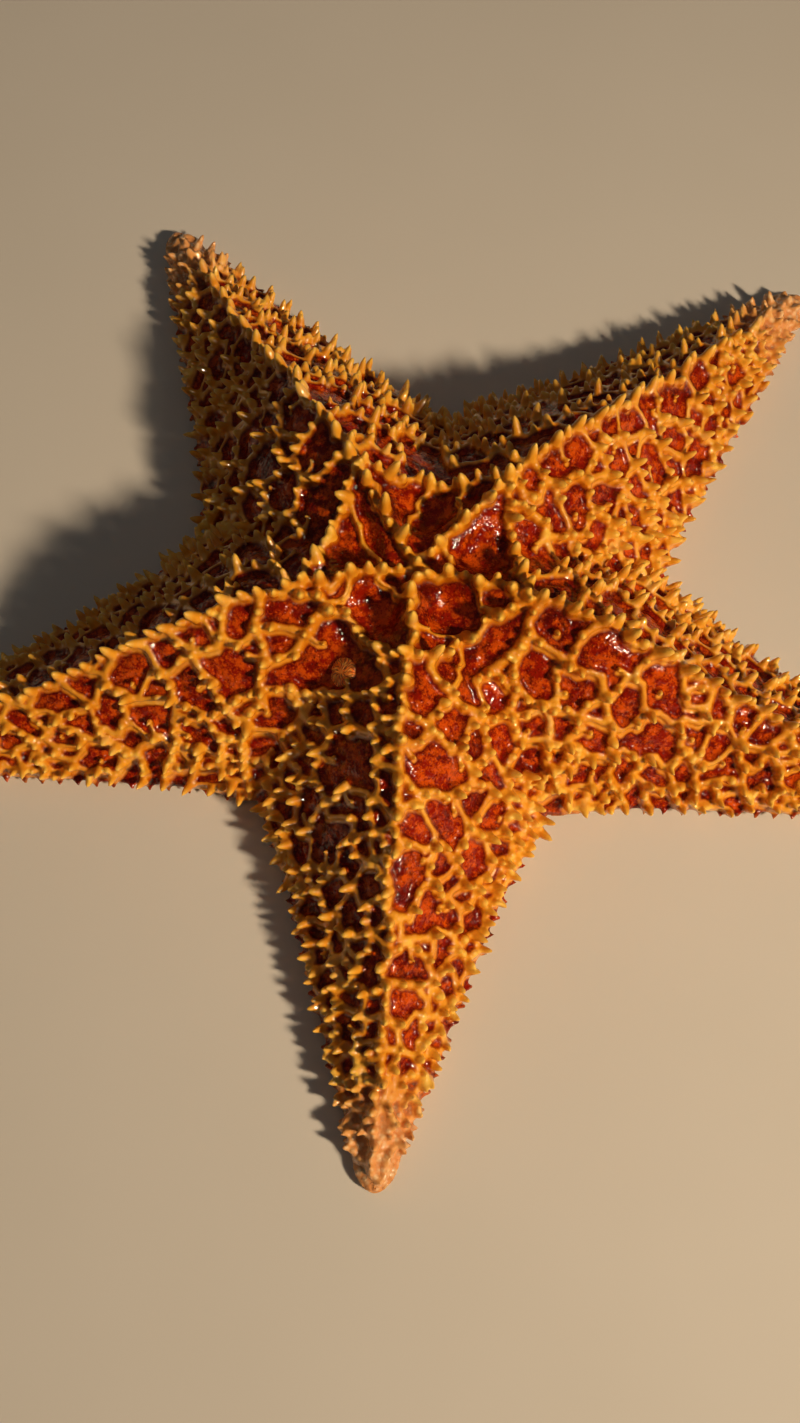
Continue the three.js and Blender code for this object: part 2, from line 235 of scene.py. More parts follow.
def top_height(x, y):
    inset, ridge, u = survey(x, y)
    rounded = np.hypot(ridge, CREST_RADIUS) - CREST_RADIUS
    share = np.maximum(inset, 0.0) / np.maximum(inset + rounded, NORMAL_STEP * MILLIMETRE)
    power = mix(FLANK_POWER[0], FLANK_POWER[1], smooth_step(u, *POWER_RANGE))
    low = MARGIN_HEIGHT - MARGIN_FALL * u
    hollow = np.exp(-(((np.hypot(x, y) - HOLLOW_RADIUS) / HOLLOW_WIDTH) ** 2))
    sink = HOLLOW_DEPTH * hollow * smooth_step(ridge, *HOLLOW_EDGE)
    return low + (ridge_height(np.minimum(u, 1.0)) - low) * share**power - sink


def top_normal(x, y):
    span = 2 * NORMAL_STEP
    slope_x = (top_height(x + NORMAL_STEP, y) - top_height(x - NORMAL_STEP, y)) / span
    slope_y = (top_height(x, y + NORMAL_STEP) - top_height(x, y - NORMAL_STEP)) / span
    normal = np.stack([-slope_x, -slope_y, np.ones_like(slope_x)], axis=-1)
    return normal / np.linalg.norm(normal, axis=-1, keepdims=True)


def on_top(plan):
    """Points of the plan, lifted to the crest of the skin."""
    return np.column_stack([plan, top_height(plan[:, 0], plan[:, 1])])


print("height at the centre %.1f mm" % top_height(np.zeros(1), np.zeros(1))[0])

# %% [markdown]
# ## The knots of the net
#
# Under the skin lie small lime plates. The largest stand in rows: one row along the crest of each
# arm, a ring of them round the crown, two rows on each flank and two along each margin. Each plate
# is a knot of the net and most of them carry a cone. Placing them by hand would take days and
# scattering them all would lose the rows, so the rows come from formulas, with a little jitter, and
# only the small plates between them are scattered.

# %% A list of knots
KNOT_SEED = 7
ROW_JITTER = {"crest": 0.4, "ring": 0.6, "flank": 1.1, "margin": 0.5}
LENGTH_SPREAD = (0.85, 1.12)
RADIUS_SPREAD = (0.9, 1.1)

chance = np.random.default_rng(KNOT_SEED)


class Knots:
    """Every knot of the net: its place in plan, its kind, and its cone's length and foot radius."""

    def __init__(self):
        self.plan = []
        self.kinds = []
        self.lengths = []
        self.radii = []

    def add(self, x, y, kind, length, radius):
        jitter = chance.normal(0, ROW_JITTER.get(kind, 0.0), 2)
        self.plan.append((float(x) + jitter[0], float(y) + jitter[1]))
        self.kinds.append(kind)
        self.lengths.append(float(length * chance.uniform(*LENGTH_SPREAD)))
        self.radii.append(float(radius * chance.uniform(*RADIUS_SPREAD)))
        return len(self.plan) - 1


knots = Knots()
print("knots so far", len(knots.plan))

# %% Knots along the crests
CREST_ROW = {"first": 8.5, "step": (8.2, 7.0), "length": (6.2, 4.4), "radius": (1.6, 1.2)}
CENTRE_LENGTH = 5.0
RING_DISTANCE = 29.0
LAST_CONE = 0.93


def stations(arm, first, step):
    """Places along an arm, closer together towards its tip."""
    places = []
    s = first
    while s < LAST_CONE * arm.length:
        places.append(s)
        s += mix(step[0], step[1], s / arm.length)
    return places


chains = []
ring_starts = []
centre_knot = knots.add(0.0, 0.0, "crest", CENTRE_LENGTH, CREST_ROW["radius"][0])
for arm in arms:
    chain = [centre_knot]
    for s in stations(arm, CREST_ROW["first"], CREST_ROW["step"]):
        u = s / arm.length
        length, radius = mix(*CREST_ROW["length"], u), mix(*CREST_ROW["radius"], u)
        chain.append(knots.add(*arm.to_plan(s, 0.0), "crest", length, radius))
    chains.append(chain)
    from_ring = [abs(math.hypot(*knots.plan[knot]) - RING_DISTANCE) for knot in chain]
    ring_starts.append(chain[int(np.argmin(from_ring))])
print("knots on the crests", len(knots.plan))

# %% Knots of the ring
RING_ROW = {"share": (0.24, 0.5, 0.76), "length": 5.6, "radius": 1.6}

for arm in arms:
    following = arms[(arm.index + 1) % len(arms)]
    start = arm.to_plan(RING_DISTANCE, 0.0)
    end = following.to_plan(RING_DISTANCE, 0.0)
    chain = [ring_starts[arm.index]]
    for share in RING_ROW["share"]:
        x, y = mix(start[0], end[0], share), mix(start[1], end[1], share)
        chain.append(knots.add(x, y, "ring", RING_ROW["length"], RING_ROW["radius"]))
    chains.append(chain + [ring_starts[following.index]])
print("knots on the crests and the ring", len(knots.plan))

# %% Knots of the flanks and margins
FLANK_ROWS = {"rows": (0.36, 0.68), "first": 44.0, "step": (12.4, 9.4)}
FLANK_ROWS |= {"length": (5.6, 4.0), "radius": (1.5, 1.1)}
MARGIN_ROWS = {"rows": (0.965, 0.86), "first": 56.0, "step": (7.2, 5.4)}
MARGIN_ROWS |= {"length": (5.8, 3.6), "radius": (1.4, 1.05)}


def add_side_rows(arm, side, sizes, kind, past_corner):
    half, _, _, corner_s = corners[(arm.index, side)]
    for number, row in enumerate(sizes["rows"]):
        for start in stations(arm, sizes["first"], sizes["step"]):
            s = start + number * sizes["step"][0] / 2
            if past_corner and s < corner_s:
                continue
            u = s / arm.length
            limit = min(float(arm.half_width(s)), s * math.tan(half))
            length, radius = mix(*sizes["length"], u), mix(*sizes["radius"], u)
            knots.add(*arm.to_plan(s, side * row * limit), kind, length, radius)


for arm in arms:
    for side in (1, -1):
        add_side_rows(arm, side, FLANK_ROWS, "flank", False)
        add_side_rows(arm, side, MARGIN_ROWS, "margin", True)
print("knots in rows", len(knots.plan))

# %% [markdown]
# ## Knots between the rows
#
# Small plates fill the space between the rows, evenly but never in a pattern. A grid would show,
# and pure chance would leave clumps and holes. So they are thrown like darts over the whole plan,
# and a dart stays only where it lies inside the margin, off the open crown, clear of the sieve
# plate and far enough from every knot that is already there. How far is enough changes: the real
# plates crowd towards the tips, the margins and the corners between the arms.

# %% How close together the knots stand
SPACING_DISC = 7.9
SPACING_TIP = 4.4
SPACING_MARGIN_SHARE = 0.7
SPACING_NOTCH_SHARE = 0.66
MARGIN_BAND = (2.0, 16.0)
NOTCH_BAND = (6.0, 30.0)
TAPER_RANGE = (0.25, 0.95)


def nearness_to_notch(plan):
    """One at the corners between the arms, where the thorns stand thickest, and zero far away."""
    near = np.zeros(len(plan))
    for _, direction, distance, _ in corners.values():
        corner = distance * np.array([math.cos(direction), math.sin(direction)])
        gap = np.linalg.norm(plan - corner, axis=1)
        near = np.maximum(near, 1 - smooth_step(gap, *NOTCH_BAND))
    return near


def dart_spacing(inset, u, notch):
    near_margin = 1.0 - smooth_step(inset, *MARGIN_BAND)
    along = mix(SPACING_DISC, SPACING_TIP, smooth_step(u, *TAPER_RANGE))
    return along * mix(1.0, SPACING_MARGIN_SHARE, near_margin) * mix(1.0, SPACING_NOTCH_SHARE, notch)


print("closest knots at a tip %.1f mm" % dart_spacing(0.0, 1.0, 0.0))

# %% Throw the darts
SIEVE_AZIMUTH = math.radians(234.3)
SIEVE_DISTANCE = 32.7
SIEVE_PLACE = SIEVE_DISTANCE * np.array([math.cos(SIEVE_AZIMUTH), math.sin(SIEVE_AZIMUTH)])
SIEVE_CLEAR = 5.4
CROWN_CLEAR = 25.0
DARTS = 50000
DART_LIMITS = {"inset": 1.6, "u": 0.985}

darts = chance.uniform(-RADIUS, RADIUS, (DARTS, 2)) * max(ARM_SHARES)
dart_inset, _, dart_u = survey(darts[:, 0], darts[:, 1])
landed = (dart_inset > DART_LIMITS["inset"]) & (dart_u < DART_LIMITS["u"])
landed &= np.linalg.norm(darts, axis=1) > CROWN_CLEAR
landed &= np.linalg.norm(darts - SIEVE_PLACE, axis=1) > SIEVE_CLEAR
darts = on_top(darts[landed])
dart_u = dart_u[landed]
dart_notch = nearness_to_notch(darts[:, :2])
gaps = dart_spacing(dart_inset[landed], dart_u, dart_notch)
print("darts that may stay", len(darts))

# %% Keep the darts that stand clear
FILL_LENGTH = (3.4, 5.6)
FILL_RADIUS = (1.15, 1.55)
OUTWARD_SHORTER = 0.3
OUTWARD_THINNER = 0.25
ON_DISC = (0.35, 0.65)
DISC_SHORTER = 0.7
NOTCH_LONGER = 1.25
TIP_FROM = 0.9
TIP_SHORTER = 0.35

places = list(on_top(np.array(knots.plan)))
taken = np.full((len(places) + len(darts), 3), np.inf)
taken[: len(places)] = places
count = len(places)
for dart, gap, u, notch in zip(darts, gaps, dart_u, dart_notch):
    away = taken[:count] - dart
    if np.einsum("ij,ij->i", away, away).min() < gap * gap:
        continue
    taken[count] = dart
    count += 1
    size = (1.0 - OUTWARD_SHORTER * u) * mix(1.0, TIP_SHORTER, smooth_step(u, TIP_FROM, 1.0))
    size *= mix(mix(DISC_SHORTER, 1.0, smooth_step(u, *ON_DISC)), NOTCH_LONGER, notch)
    length = chance.uniform(*FILL_LENGTH) * size
    radius = chance.uniform(*FILL_RADIUS) * (1.0 - OUTWARD_THINNER * u)
    knots.add(dart[0], dart[1], "fill", length, radius)
taken = on_top(np.array(knots.plan))
print("knots in all", len(taken))

# %% [markdown]
# ## The threads between the knots
#
# Two knots are joined when no third knot lies between them. That rule, applied a little loosely,
# gives the many-sided meshes of the real net, some wide, some narrow. The rows that were laid out
# on purpose, the crests and the ring, are always joined. No thread leaves the body's outline.

# %% Which knots are joined
LONGEST_THREAD = 15.0
BETWEEN_SHARE = 0.93
THREAD_INSET = 0.8
THREAD_CHECKS = 7
SIEVE_THREAD_CLEAR = 4.4


def find_threads(places):
    gaps = np.linalg.norm(places[:, None] - places[None], axis=-1)
    pairs = []
    for first in range(len(places)):
        for second in np.nonzero(gaps[first] < LONGEST_THREAD)[0]:
            farther = np.maximum(gaps[first], gaps[second])
            if second > first and not np.any(farther < BETWEEN_SHARE * gaps[first, second]):
                pairs.append((first, int(second)))
    return pairs


def inside(pair):
    """Whether a thread stays inside the outline, off the open crown and off the sieve plate."""
    line = mix(taken[pair[0], :2], taken[pair[1], :2], np.linspace(0, 1, THREAD_CHECKS)[:, None])
    halfway = line[THREAD_CHECKS // 2]
    inset = survey(halfway[:1], halfway[1:])[0][0]
    off_sieve = np.linalg.norm(line - SIEVE_PLACE, axis=1).min() > SIEVE_THREAD_CLEAR
    crown = min(np.linalg.norm(taken[end, :2]) for end in pair)
    return crown > CROWN_CLEAR and inset > THREAD_INSET and off_sieve


main_threads = {tuple(sorted(pair)) for chain in chains for pair in zip(chain, chain[1:])}
threads = sorted(main_threads | {pair for pair in find_threads(taken) if inside(pair)})
print("threads", len(threads), "of them in rows", len(main_threads))

# %% [markdown]
# ## Threads as short bars
#
# A real thread is a row of small rods. It is stout where it meets a knot, slimmer halfway, and
# never quite straight. Each one becomes four short bars along the crest of the skin, swaying a
# little to the side. A bar is only two points and a half width, which is all that the next steps
# need, so that thousands of them cost nothing.

# %% Threads as short bars
THREAD_STEPS = 4
SWAY = 0.09
THREAD_MIDDLE = 0.9
THREAD_END = 1.2
MAIN_SHARE = 0.92
TIP_THINNER = 0.3
BOSS_SHARE = 1.1
THICKNESS_SPREAD = (0.88, 1.25)


def size_at(place):
    return 1 - TIP_THINNER * min(1.0, math.hypot(place[0], place[1]) / RADIUS)


def thread_path(start, end):
    """A thread's points on the crest of the skin, swaying a little to the side."""
    share = np.linspace(0, 1, THREAD_STEPS + 1)
    along = end[:2] - start[:2]
    sway = chance.normal(0, SWAY, 2)
    bow = np.sin(math.pi * share) * sway[0] + np.sin(2 * math.pi * share) * sway[1]
    return on_top(start[:2] + share[:, None] * along + bow[:, None] * np.array([-along[1], along[0]]))


bars = []
paths = []
for pair in threads:
    path = thread_path(taken[pair[0]], taken[pair[1]])
    thick = size_at(path[0]) * (MAIN_SHARE if pair in main_threads else chance.uniform(*THICKNESS_SPREAD))
    waist = np.abs(np.linspace(-1, 1, THREAD_STEPS)) ** 2
    for step in range(THREAD_STEPS):
        bars.append((path[step], path[step + 1], thick * mix(THREAD_MIDDLE, THREAD_END, waist[step])))
    paths.append(path)
for place, radius in zip(taken, knots.radii):
    bars.append((place, place, BOSS_SHARE * radius))
print("bars", len(bars))

# %% [markdown]
# ## Beads along the threads
#
# Small blunt cones stand on the threads too, close together on the crests and the ring and on most
# other threads near the middle, fewer towards the tips. They could be copied by hand along every
# thread; a loop that steps along its path and sometimes leaves one out does the same.

# %% Beads along the threads
BEAD_SPACING = 3.9
BEAD_CHANCE = (0.9, 0.3)
BEAD_LENGTH = (2.2, 3.9)
BEAD_RADIUS = (0.9, 1.3)
MAIN_BEAD_LENGTH = (2.8, 4.6)
MAIN_BEAD_RADIUS = (1.1, 1.4)
BEAD_ASIDE = 0.35


def place_on(path, share):
    """The point of a thread at a share of its way."""
    step = min(int(share * THREAD_STEPS), THREAD_STEPS - 1)
    return mix(path[step], path[step + 1], share * THREAD_STEPS - step)


for pair, path in zip(threads, paths):
    main = pair in main_threads
    parts = max(2, round(np.linalg.norm(path[0] - path[-1]) / BEAD_SPACING))
    for part in range(1, parts):
        bead = place_on(path, part / parts)
        outward = min(1.0, math.hypot(bead[0], bead[1]) / RADIUS)
        if not main and chance.uniform() > mix(*BEAD_CHANCE, outward):
            continue
        bead[:2] += chance.normal(0, BEAD_ASIDE, 2)
        length = chance.uniform(*(MAIN_BEAD_LENGTH if main else BEAD_LENGTH)) * size_at(bead)
        radius = chance.uniform(*(MAIN_BEAD_RADIUS if main else BEAD_RADIUS))
        knots.add(bead[0], bead[1], "bead", length, radius)
        bars.append((bead, bead, BOSS_SHARE * radius))
print("knots and beads", len(knots.plan))

# %% [markdown]
# ## The net as a field
#
# How near any point of the skin lies to the net can be worked out without building the threads:
# each bar adds a little to a sum that dies away with distance, and where several bars meet their
# shares add up, so that the corners fill in as webs, just as the real ridges swell where they meet.
# Tubes joined by booleans would meet in sharp creases instead.

# %% Distance from the net
NET_SHARPNESS = 3.6
NET_REACH = 4.0


def net_distance(points):
    """Smooth distance from the net, counted in half widths, for points on the crest of the skin."""
    order = np.argsort(points[:, 0])
    ranked = points[order]
    total = np.full(len(points), math.exp(-NET_SHARPNESS * NET_REACH))
    for start, end, wide in bars:
        low = np.minimum(start, end) - NET_REACH * wide
        high = np.maximum(start, end) + NET_REACH * wide
        first, last = np.searchsorted(ranked[:, 0], [low[0], high[0]])
        near = first + np.nonzero((ranked[first:last, 1] > low[1]) & (ranked[first:last, 1] < high[1]))[0]
        away = ranked[near] - start
        along = end - start
        share = np.clip(away @ along / max(along @ along, MILLIMETRE), 0, 1)
        gap = np.linalg.norm(away - share[:, None] * along, axis=1) / wide
        total[near] += np.exp(-NET_SHARPNESS * gap)
    found = np.empty(len(points))
    found[order] = -np.log(total) / NET_SHARPNESS
    return found


print("first knot lies %.2f half widths from the net" % net_distance(taken[:1])[0])

# %% [markdown]
# ## Loose knots inside the wide meshes
#
# Inside the widest meshes the real net has small knots that hang on by a single spur, and on the
# crown thin threads cross the hollows. The field just made tells where the meshes are wide, so the
# loose knots are thrown there as darts. Away from the crown most get a spur to the nearest knot; on
# the crown each gets a thread that runs right across, to the nearest knot and to the one opposite.

# %% Loose knots inside the wide meshes
LOOSE_TRIES = 6000
LOOSE_AWAY = 2.0
LOOSE_SPACING = 10.5
LOOSE_LENGTH = (1.2, 2.4)
LOOSE_RADIUS = (0.6, 0.9)
SPUR_CHANCE = 0.8
SPUR_SHARE = 0.8
CROSSED_OUT_TO = 30.0
LOOSE_LIMITS = {"inset": 3.0, "u": 0.9}


def nearest_knot(place):
    return taken[np.argmin(np.linalg.norm(taken - place, axis=1))]


tries = chance.uniform(-RADIUS, RADIUS, (LOOSE_TRIES, 2))
tries_inset, _, tries_u = survey(tries[:, 0], tries[:, 1])
tries = on_top(tries[(tries_inset > LOOSE_LIMITS["inset"]) & (tries_u < LOOSE_LIMITS["u"])])
tries = tries[net_distance(tries) > LOOSE_AWAY]
loose = []
for place in tries:
    if all(np.linalg.norm(place - other) > LOOSE_SPACING for other in loose):
        loose.append(place)
for place in loose:
    knots.add(place[0], place[1], "loose", chance.uniform(*LOOSE_LENGTH), chance.uniform(*LOOSE_RADIUS))
    bars.append((place, place, BOSS_SHARE * knots.radii[-1]))
    nearest = nearest_knot(place)
    ends = [nearest] if chance.uniform() < SPUR_CHANCE else []
    if math.hypot(place[0], place[1]) < CROSSED_OUT_TO:
        ends = [nearest, nearest_knot(2 * place - nearest)]
    for end in ends:
        path = thread_path(place, end)
        thick = SPUR_SHARE * THREAD_MIDDLE * size_at(place)
        bars.extend((path[step], path[step + 1], thick) for step in range(THREAD_STEPS))
print("loose knots", len(loose))

# %% [markdown]
# ## The body as one closed surface
#
# The body is swept in rows that run out from the middle along every half arm, from the ridge line
# to the margin. Sculpting would give a softer form, but rows keep the ridge lines, the corners
# between the arms and the grooves underneath exactly where the formulas put them. The rows stand
# half a millimetre apart on top, close enough to carry the net: a point sinks towards the floor of
# the skin as far as it lies from the net, and the soft skin swells a little inside wide meshes.

# %% A collector of points and faces
class Shape:
    """Collects points and faces until they are made into one mesh."""

    def __init__(self):
        self.points = []
        self.faces = []
        self.count = 0

    def add(self, points, faces):
        self.points.append(np.asarray(points, float).reshape(-1, 3))
        self.faces.extend((np.asarray(face) + self.count).tolist() for face in faces)
        self.count += len(self.points[-1])

    def add_grid(self, points, flip):
        rows, columns = points.shape[:2]
        corner = np.arange(rows * columns).reshape(rows, columns)
        quads = [corner[:-1, :-1], corner[1:, :-1], corner[1:, 1:], corner[:-1, 1:]]
        quads = np.stack(quads[::-1] if flip else quads, axis=-1).reshape(-1, 4)
        self.points.append(points.reshape(-1, 3))
        self.faces.extend((quads + self.count).tolist())
        self.count += rows * columns

    def add_tube(self, rings):
        """A run of rings, closed into a tube with a flat fan at each end."""
        count, sides = rings.shape[:2]
        ends = np.stack([rings[0].mean(axis=0), rings[-1].mean(axis=0)])
        corner = np.arange(count * sides).reshape(count, sides)
        after = np.roll(corner, -1, axis=1)
        quads = np.stack([corner[:-1], after[:-1], after[1:], corner[1:]], axis=-1).reshape(-1, 4)
        first = [[count * sides, after[0, k], corner[0, k]] for k in range(sides)]
        last = [[count * sides + 1, corner[-1, k], after[-1, k]] for k in range(sides)]
        self.add(np.concatenate([rings.reshape(-1, 3), ends]), list(quads) + first + last)

    def make(self, name):
        mesh = bpy.data.meshes.new(name)
        mesh.from_pydata((np.concatenate(self.points) * MILLIMETRE).tolist(), [], self.faces)
        made = bpy.data.objects.new(name, mesh)
        bpy.context.scene.collection.objects.link(made)
        return made


body = Shape()
print("the body starts with", body.count, "points")

# %% Rows of a half arm
INNER_ROWS = 105
OUTER_ROWS = 180
ROUND_ROWS = 30


def outer_share(row):
    """Rows past the corner are even as far as the round tip, which has rows at even angles."""
    round_from = 1 - (1 - TIP_ROUNDING_FROM) * RADIUS / (RADIUS - WEB_CENTRE)
    even = OUTER_ROWS - ROUND_ROWS
    angle = math.pi / 2 * np.clip((row - even) / ROUND_ROWS, 0, 1)
    return np.where(row <= even, round_from * row / even, mix(round_from, 1.0, np.sin(angle)))


def row_ends(arm, side):
    """Both ends of every row of a half arm, on the ridge and on the edge, and how far out it is."""
    _, direction, distance, corner_s = corners[(arm.index, side)]
    corner = distance * np.array([math.cos(direction), math.sin(direction)])
    inner = np.arange(INNER_ROWS) / INNER_ROWS
    outer = outer_share(np.arange(OUTER_ROWS + 1))
    ridge_s = np.concatenate([inner * WEB_CENTRE, mix(WEB_CENTRE, arm.length, outer)])
    edge_s = mix(corner_s, arm.length, outer)
    edge = np.stack(arm.to_plan(edge_s, side * arm.half_width(edge_s)), axis=-1)
    edge[0] = corner
    edge = np.concatenate([inner[:, None] * corner, edge])
    along = np.concatenate([inner * WEB_CENTRE / RADIUS, mix(WEB_CENTRE / RADIUS, 1.0, outer)])
    past_corner = np.concatenate([0 * inner, outer])
    return np.stack(arm.to_plan(ridge_s, 0 * ridge_s), axis=-1), edge, along, past_corner


print("rows in a half arm", len(row_ends(arms[0], 1)[0]))

# %% Depth of the sunken skin
PIT_DEPTH = 1.7
PIT_TIP_SHARE = 0.6
DEPTH_RANGE = (0.5, 1.0)
RIDGE_PROFILE = (0.3, 1.5)
SWELL = 0.3
SWELL_RANGE = (1.6, 3.2)


def sink_of(away, u):
    """How far the skin lies below its crest, from how far away the net is."""
    floor = smooth_step(away, *RIDGE_PROFILE) - SWELL * smooth_step(away, *SWELL_RANGE)
    return PIT_DEPTH * mix(1.0, PIT_TIP_SHARE, smooth_step(u, *DEPTH_RANGE)) * floor


print("deepest skin %.2f mm" % sink_of(SWELL_RANGE[0], 0.0))

# %% [markdown]
# ## The under side
#
# The animal walks on its under side. A deep groove runs along the middle of each arm, and the skin
# rises from the lip beside the groove to the rim. The under side could be left flat, since it is
# seldom seen, but a star is often picked up and turned over. So it has its own height formula, with
# a pocket for the mouth, and with two small level pads on each arm, which are what it stands on.

# %% Height of the under side
LIP_HEIGHT = 1.2
LIP_SIDE = 1.3
RIM_HEIGHT = 2.4
RIM_FROM = 0.7
GROOVE_HALF_WIDTH = (4.2, 1.4)
GROOVE_DEPTH = 5.0
GROOVE_SIDE = (0.25, 1.15)
GROOVE_END = (0.88, 0.96)
SHALLOWER = 0.6
PAD_WIDTH = 8.0
PAD_SIDE = 1.6
PAD_RANGE = (0.742, 0.804)
PAD_FADE = 0.03


def groove_at(along):
    return mix(*GROOVE_HALF_WIDTH, along)


def under_height(off, share, along):
    """Groove, lip beside it, two level pads on every arm, and the rise to the rim."""
    groove = groove_at(along)
    on_pad = smooth_step(along, PAD_RANGE[0] - PAD_FADE, PAD_RANGE[0])
    on_pad = on_pad * (1 - smooth_step(along, PAD_RANGE[1], PAD_RANGE[1] + PAD_FADE))
    beside = smooth_step(off, groove, LIP_SIDE * groove)
    beside = beside * (1 - smooth_step(off, groove + PAD_WIDTH, groove + PAD_SIDE * PAD_WIDTH))
    lip = LIP_HEIGHT * (1 - on_pad * beside)
    depth = GROOVE_DEPTH * (1 - SHALLOWER * along) * (1 - smooth_step(along, *GROOVE_END))
    bed = depth * (1 - smooth_step(off, GROOVE_SIDE[0] * groove, GROOVE_SIDE[1] * groove))
    rise = (RIM_HEIGHT - LIP_HEIGHT) * smooth_step(share, RIM_FROM, 1.0)
    return lip + bed + rise * (1 - on_pad / 2)


print("groove at the disc %.1f mm high" % under_height(0.0, 0.0, 0.0))

# %% Upper side, under side and wall of every half arm
TOP_STRIPS = 90
UNDER_STRIPS = 44
WALL_STRIPS = 6
RIM_INSET = 0.95
RIM_FADE = 0.15
UNDER_CROWDING = 1.25
MOUTH_POCKET = (8.6, 9.9)
MOUTH_POCKET_DEPTH = 6.5


def half_arm(shape, arm, side):
    ridge, edge, along, past_corner = row_ends(arm, side)
    share = np.linspace(0, 1, TOP_STRIPS + 1)[None, :, None]
    plan = mix(ridge[:, None, :], edge[:, None, :], share).reshape(-1, 2)
    crest = on_top(plan)
    u = np.repeat(along, TOP_STRIPS + 1)
    top = crest - top_normal(plan[:, 0], plan[:, 1]) * sink_of(net_distance(crest), u)[:, None]
    top = top.reshape(len(along), TOP_STRIPS + 1, 3)
    shape.add_grid(top, side > 0)

    rim = mix(1.0, RIM_INSET, smooth_step(past_corner, 0.0, RIM_FADE))[:, None]
    share = np.linspace(0, 1, UNDER_STRIPS + 1)[None, :]
    shares = (share**UNDER_CROWDING * rim)[..., None]
    plan = mix(ridge[:, None, :], edge[:, None, :], shares)
    off = np.linalg.norm(plan - ridge[:, None, :], axis=-1)
    pocket = MOUTH_POCKET_DEPTH * (1 - smooth_step(np.linalg.norm(plan, axis=-1), *MOUTH_POCKET))
    height = np.maximum(under_height(off, share, along[:, None]), pocket)
    under = np.concatenate([plan, height[..., None]], axis=-1)
    shape.add_grid(under, side < 0)

    upper = top[INNER_ROWS:, -1]
    lower = under[INNER_ROWS:, -1]
    turn = np.linspace(0, math.pi / 2, WALL_STRIPS + 1)[None, :, None]
    flat = mix(lower[:, None, :2], upper[:, None, :2], np.sin(turn))
    height = mix(upper[:, None, 2:], lower[:, None, 2:], np.cos(turn))
    shape.add_grid(np.concatenate([flat, height], axis=-1)[:, ::-1], side > 0)


for arm in arms:
    half_arm(body, arm, 1)
    half_arm(body, arm, -1)
print("body points", body.count)

# %% [markdown]
# ## Cones on the knots
#
# A cone is a turned shape: a flared foot, a belly and a tip. On the crown the cones are blunt like
# fingertips, on the flanks they are thorns. They stand square to the skin, lean a little outwards
# and a little their own way. They only need to be closed and to reach into the body, because the
# remesh that follows keeps nothing but their common outside.

# %% The form of a cone
CONE_SIDES = 14
CONE_RISES = (-0.25, 0.0, 0.08, 0.18, 0.32, 0.48, 0.64, 0.78, 0.89, 0.96, 1.0)
FLARE_BLUNT = 0.18
FLARE_HEIGHT = 0.25
FULLNESS = 0.7
LEAN = 0.13
LEAN_OUT = 0.16
TIP_SHARE = 0.06
SKEW_WAY = (0.3, 0.9, 0.2)


def cone_axes(places):
    """Directions square to the skin, leaning outwards and a little their own way."""
    outward = places[:, :2] / np.maximum(np.linalg.norm(places[:, :2], axis=1), 1)[:, None]
    axis = top_normal(places[:, 0], places[:, 1]) + chance.normal(0, LEAN, places.shape)
    axis[:, :2] += LEAN_OUT * outward
    return axis / np.linalg.norm(axis, axis=1, keepdims=True)


def cone_share(rise, blunt, flare):
    """Radius of a cone as a share of its foot, at a share of its height."""
    level = max(rise, 0.0)
    spread = flare * max(0.0, 1 - level / FLARE_HEIGHT) ** 2
    return max(TIP_SHARE, (1 - level**blunt) ** FULLNESS + spread)


def add_cone(shape, foot, axis, length, radius, blunt, flare=FLARE_BLUNT):
    side = np.cross(axis, SKEW_WAY)
    side /= np.linalg.norm(side)
    turn = np.arange(CONE_SIDES) * 2 * math.pi / CONE_SIDES
    circle = np.cos(turn)[:, None] * side + np.sin(turn)[:, None] * np.cross(axis, side)
    wide = [radius * cone_share(rise, blunt, flare) for rise in CONE_RISES]
    rings = [foot + axis * rise * length + circle * reach for rise, reach in zip(CONE_RISES, wide)]
    shape.add_tube(np.array(rings))


print("halfway up, a cone is %.2f of its foot wide" % cone_share(0.5, 2.4, FLARE_BLUNT))

# %% A cone on every knot and bead
BLUNT = {"crest": 2.9, "ring": 2.9, "flank": 2.4, "margin": 1.9, "fill": 2.3, "bead": 2.6, "loose": 2.2}
FLARE = {"flank": 0.24, "margin": 0.24, "fill": 0.22}
BARE_CHANCE = 0.08
BARE_LENGTH = 0.35
SINK_FOOT = 0.5

places = on_top(np.array(knots.plan))
axes = cone_axes(places)
cones = []
for place, axis, kind, length, radius in zip(places, axes, knots.kinds, knots.lengths, knots.radii):
    if kind == "fill" and chance.uniform() < BARE_CHANCE:
        length = length * BARE_LENGTH
    foot = place - axis * SINK_FOOT
    add_cone(body, foot, axis, length, radius, BLUNT[kind], FLARE.get(kind, FLARE_BLUNT))
    cones.append((foot, axis, length, radius))
print("cones", len(cones), "points", body.count)

# %% [markdown]
# ## Spines along the edge and the grooves
#
# Below the margin stands one more row of thorns, and a comb of thin spines leans over each groove
# from both sides, where it shields the soft feet. They are the same turned cones, laid out by a
# step along the arm, so only their sizes and the way they point are new.

# %% Spines along the lower edge and beside the grooves
EDGE_ROW = {"first": 60.0, "step": (5.2, 4.2), "height": 3.6}
EDGE_SPINE = {"length": (3.0, 2.0), "radius": 0.95, "blunt": 1.4}
COMB_ROW = {"range": (0.1, 0.9), "step": 2.4, "height": 1.5}
COMB_SPINE = {"length": (3.0, 1.6), "radius": 0.62, "blunt": 2.4}
COMB_OUT = 1.6
COMB_SWAY = (1.0, 1.0, 0.2)


def add_spine(foot, axis, u, sizes):
    axis = axis / np.linalg.norm(axis)
    add_cone(body, np.array(foot), axis, mix(*sizes["length"], u), sizes["radius"], sizes["blunt"])


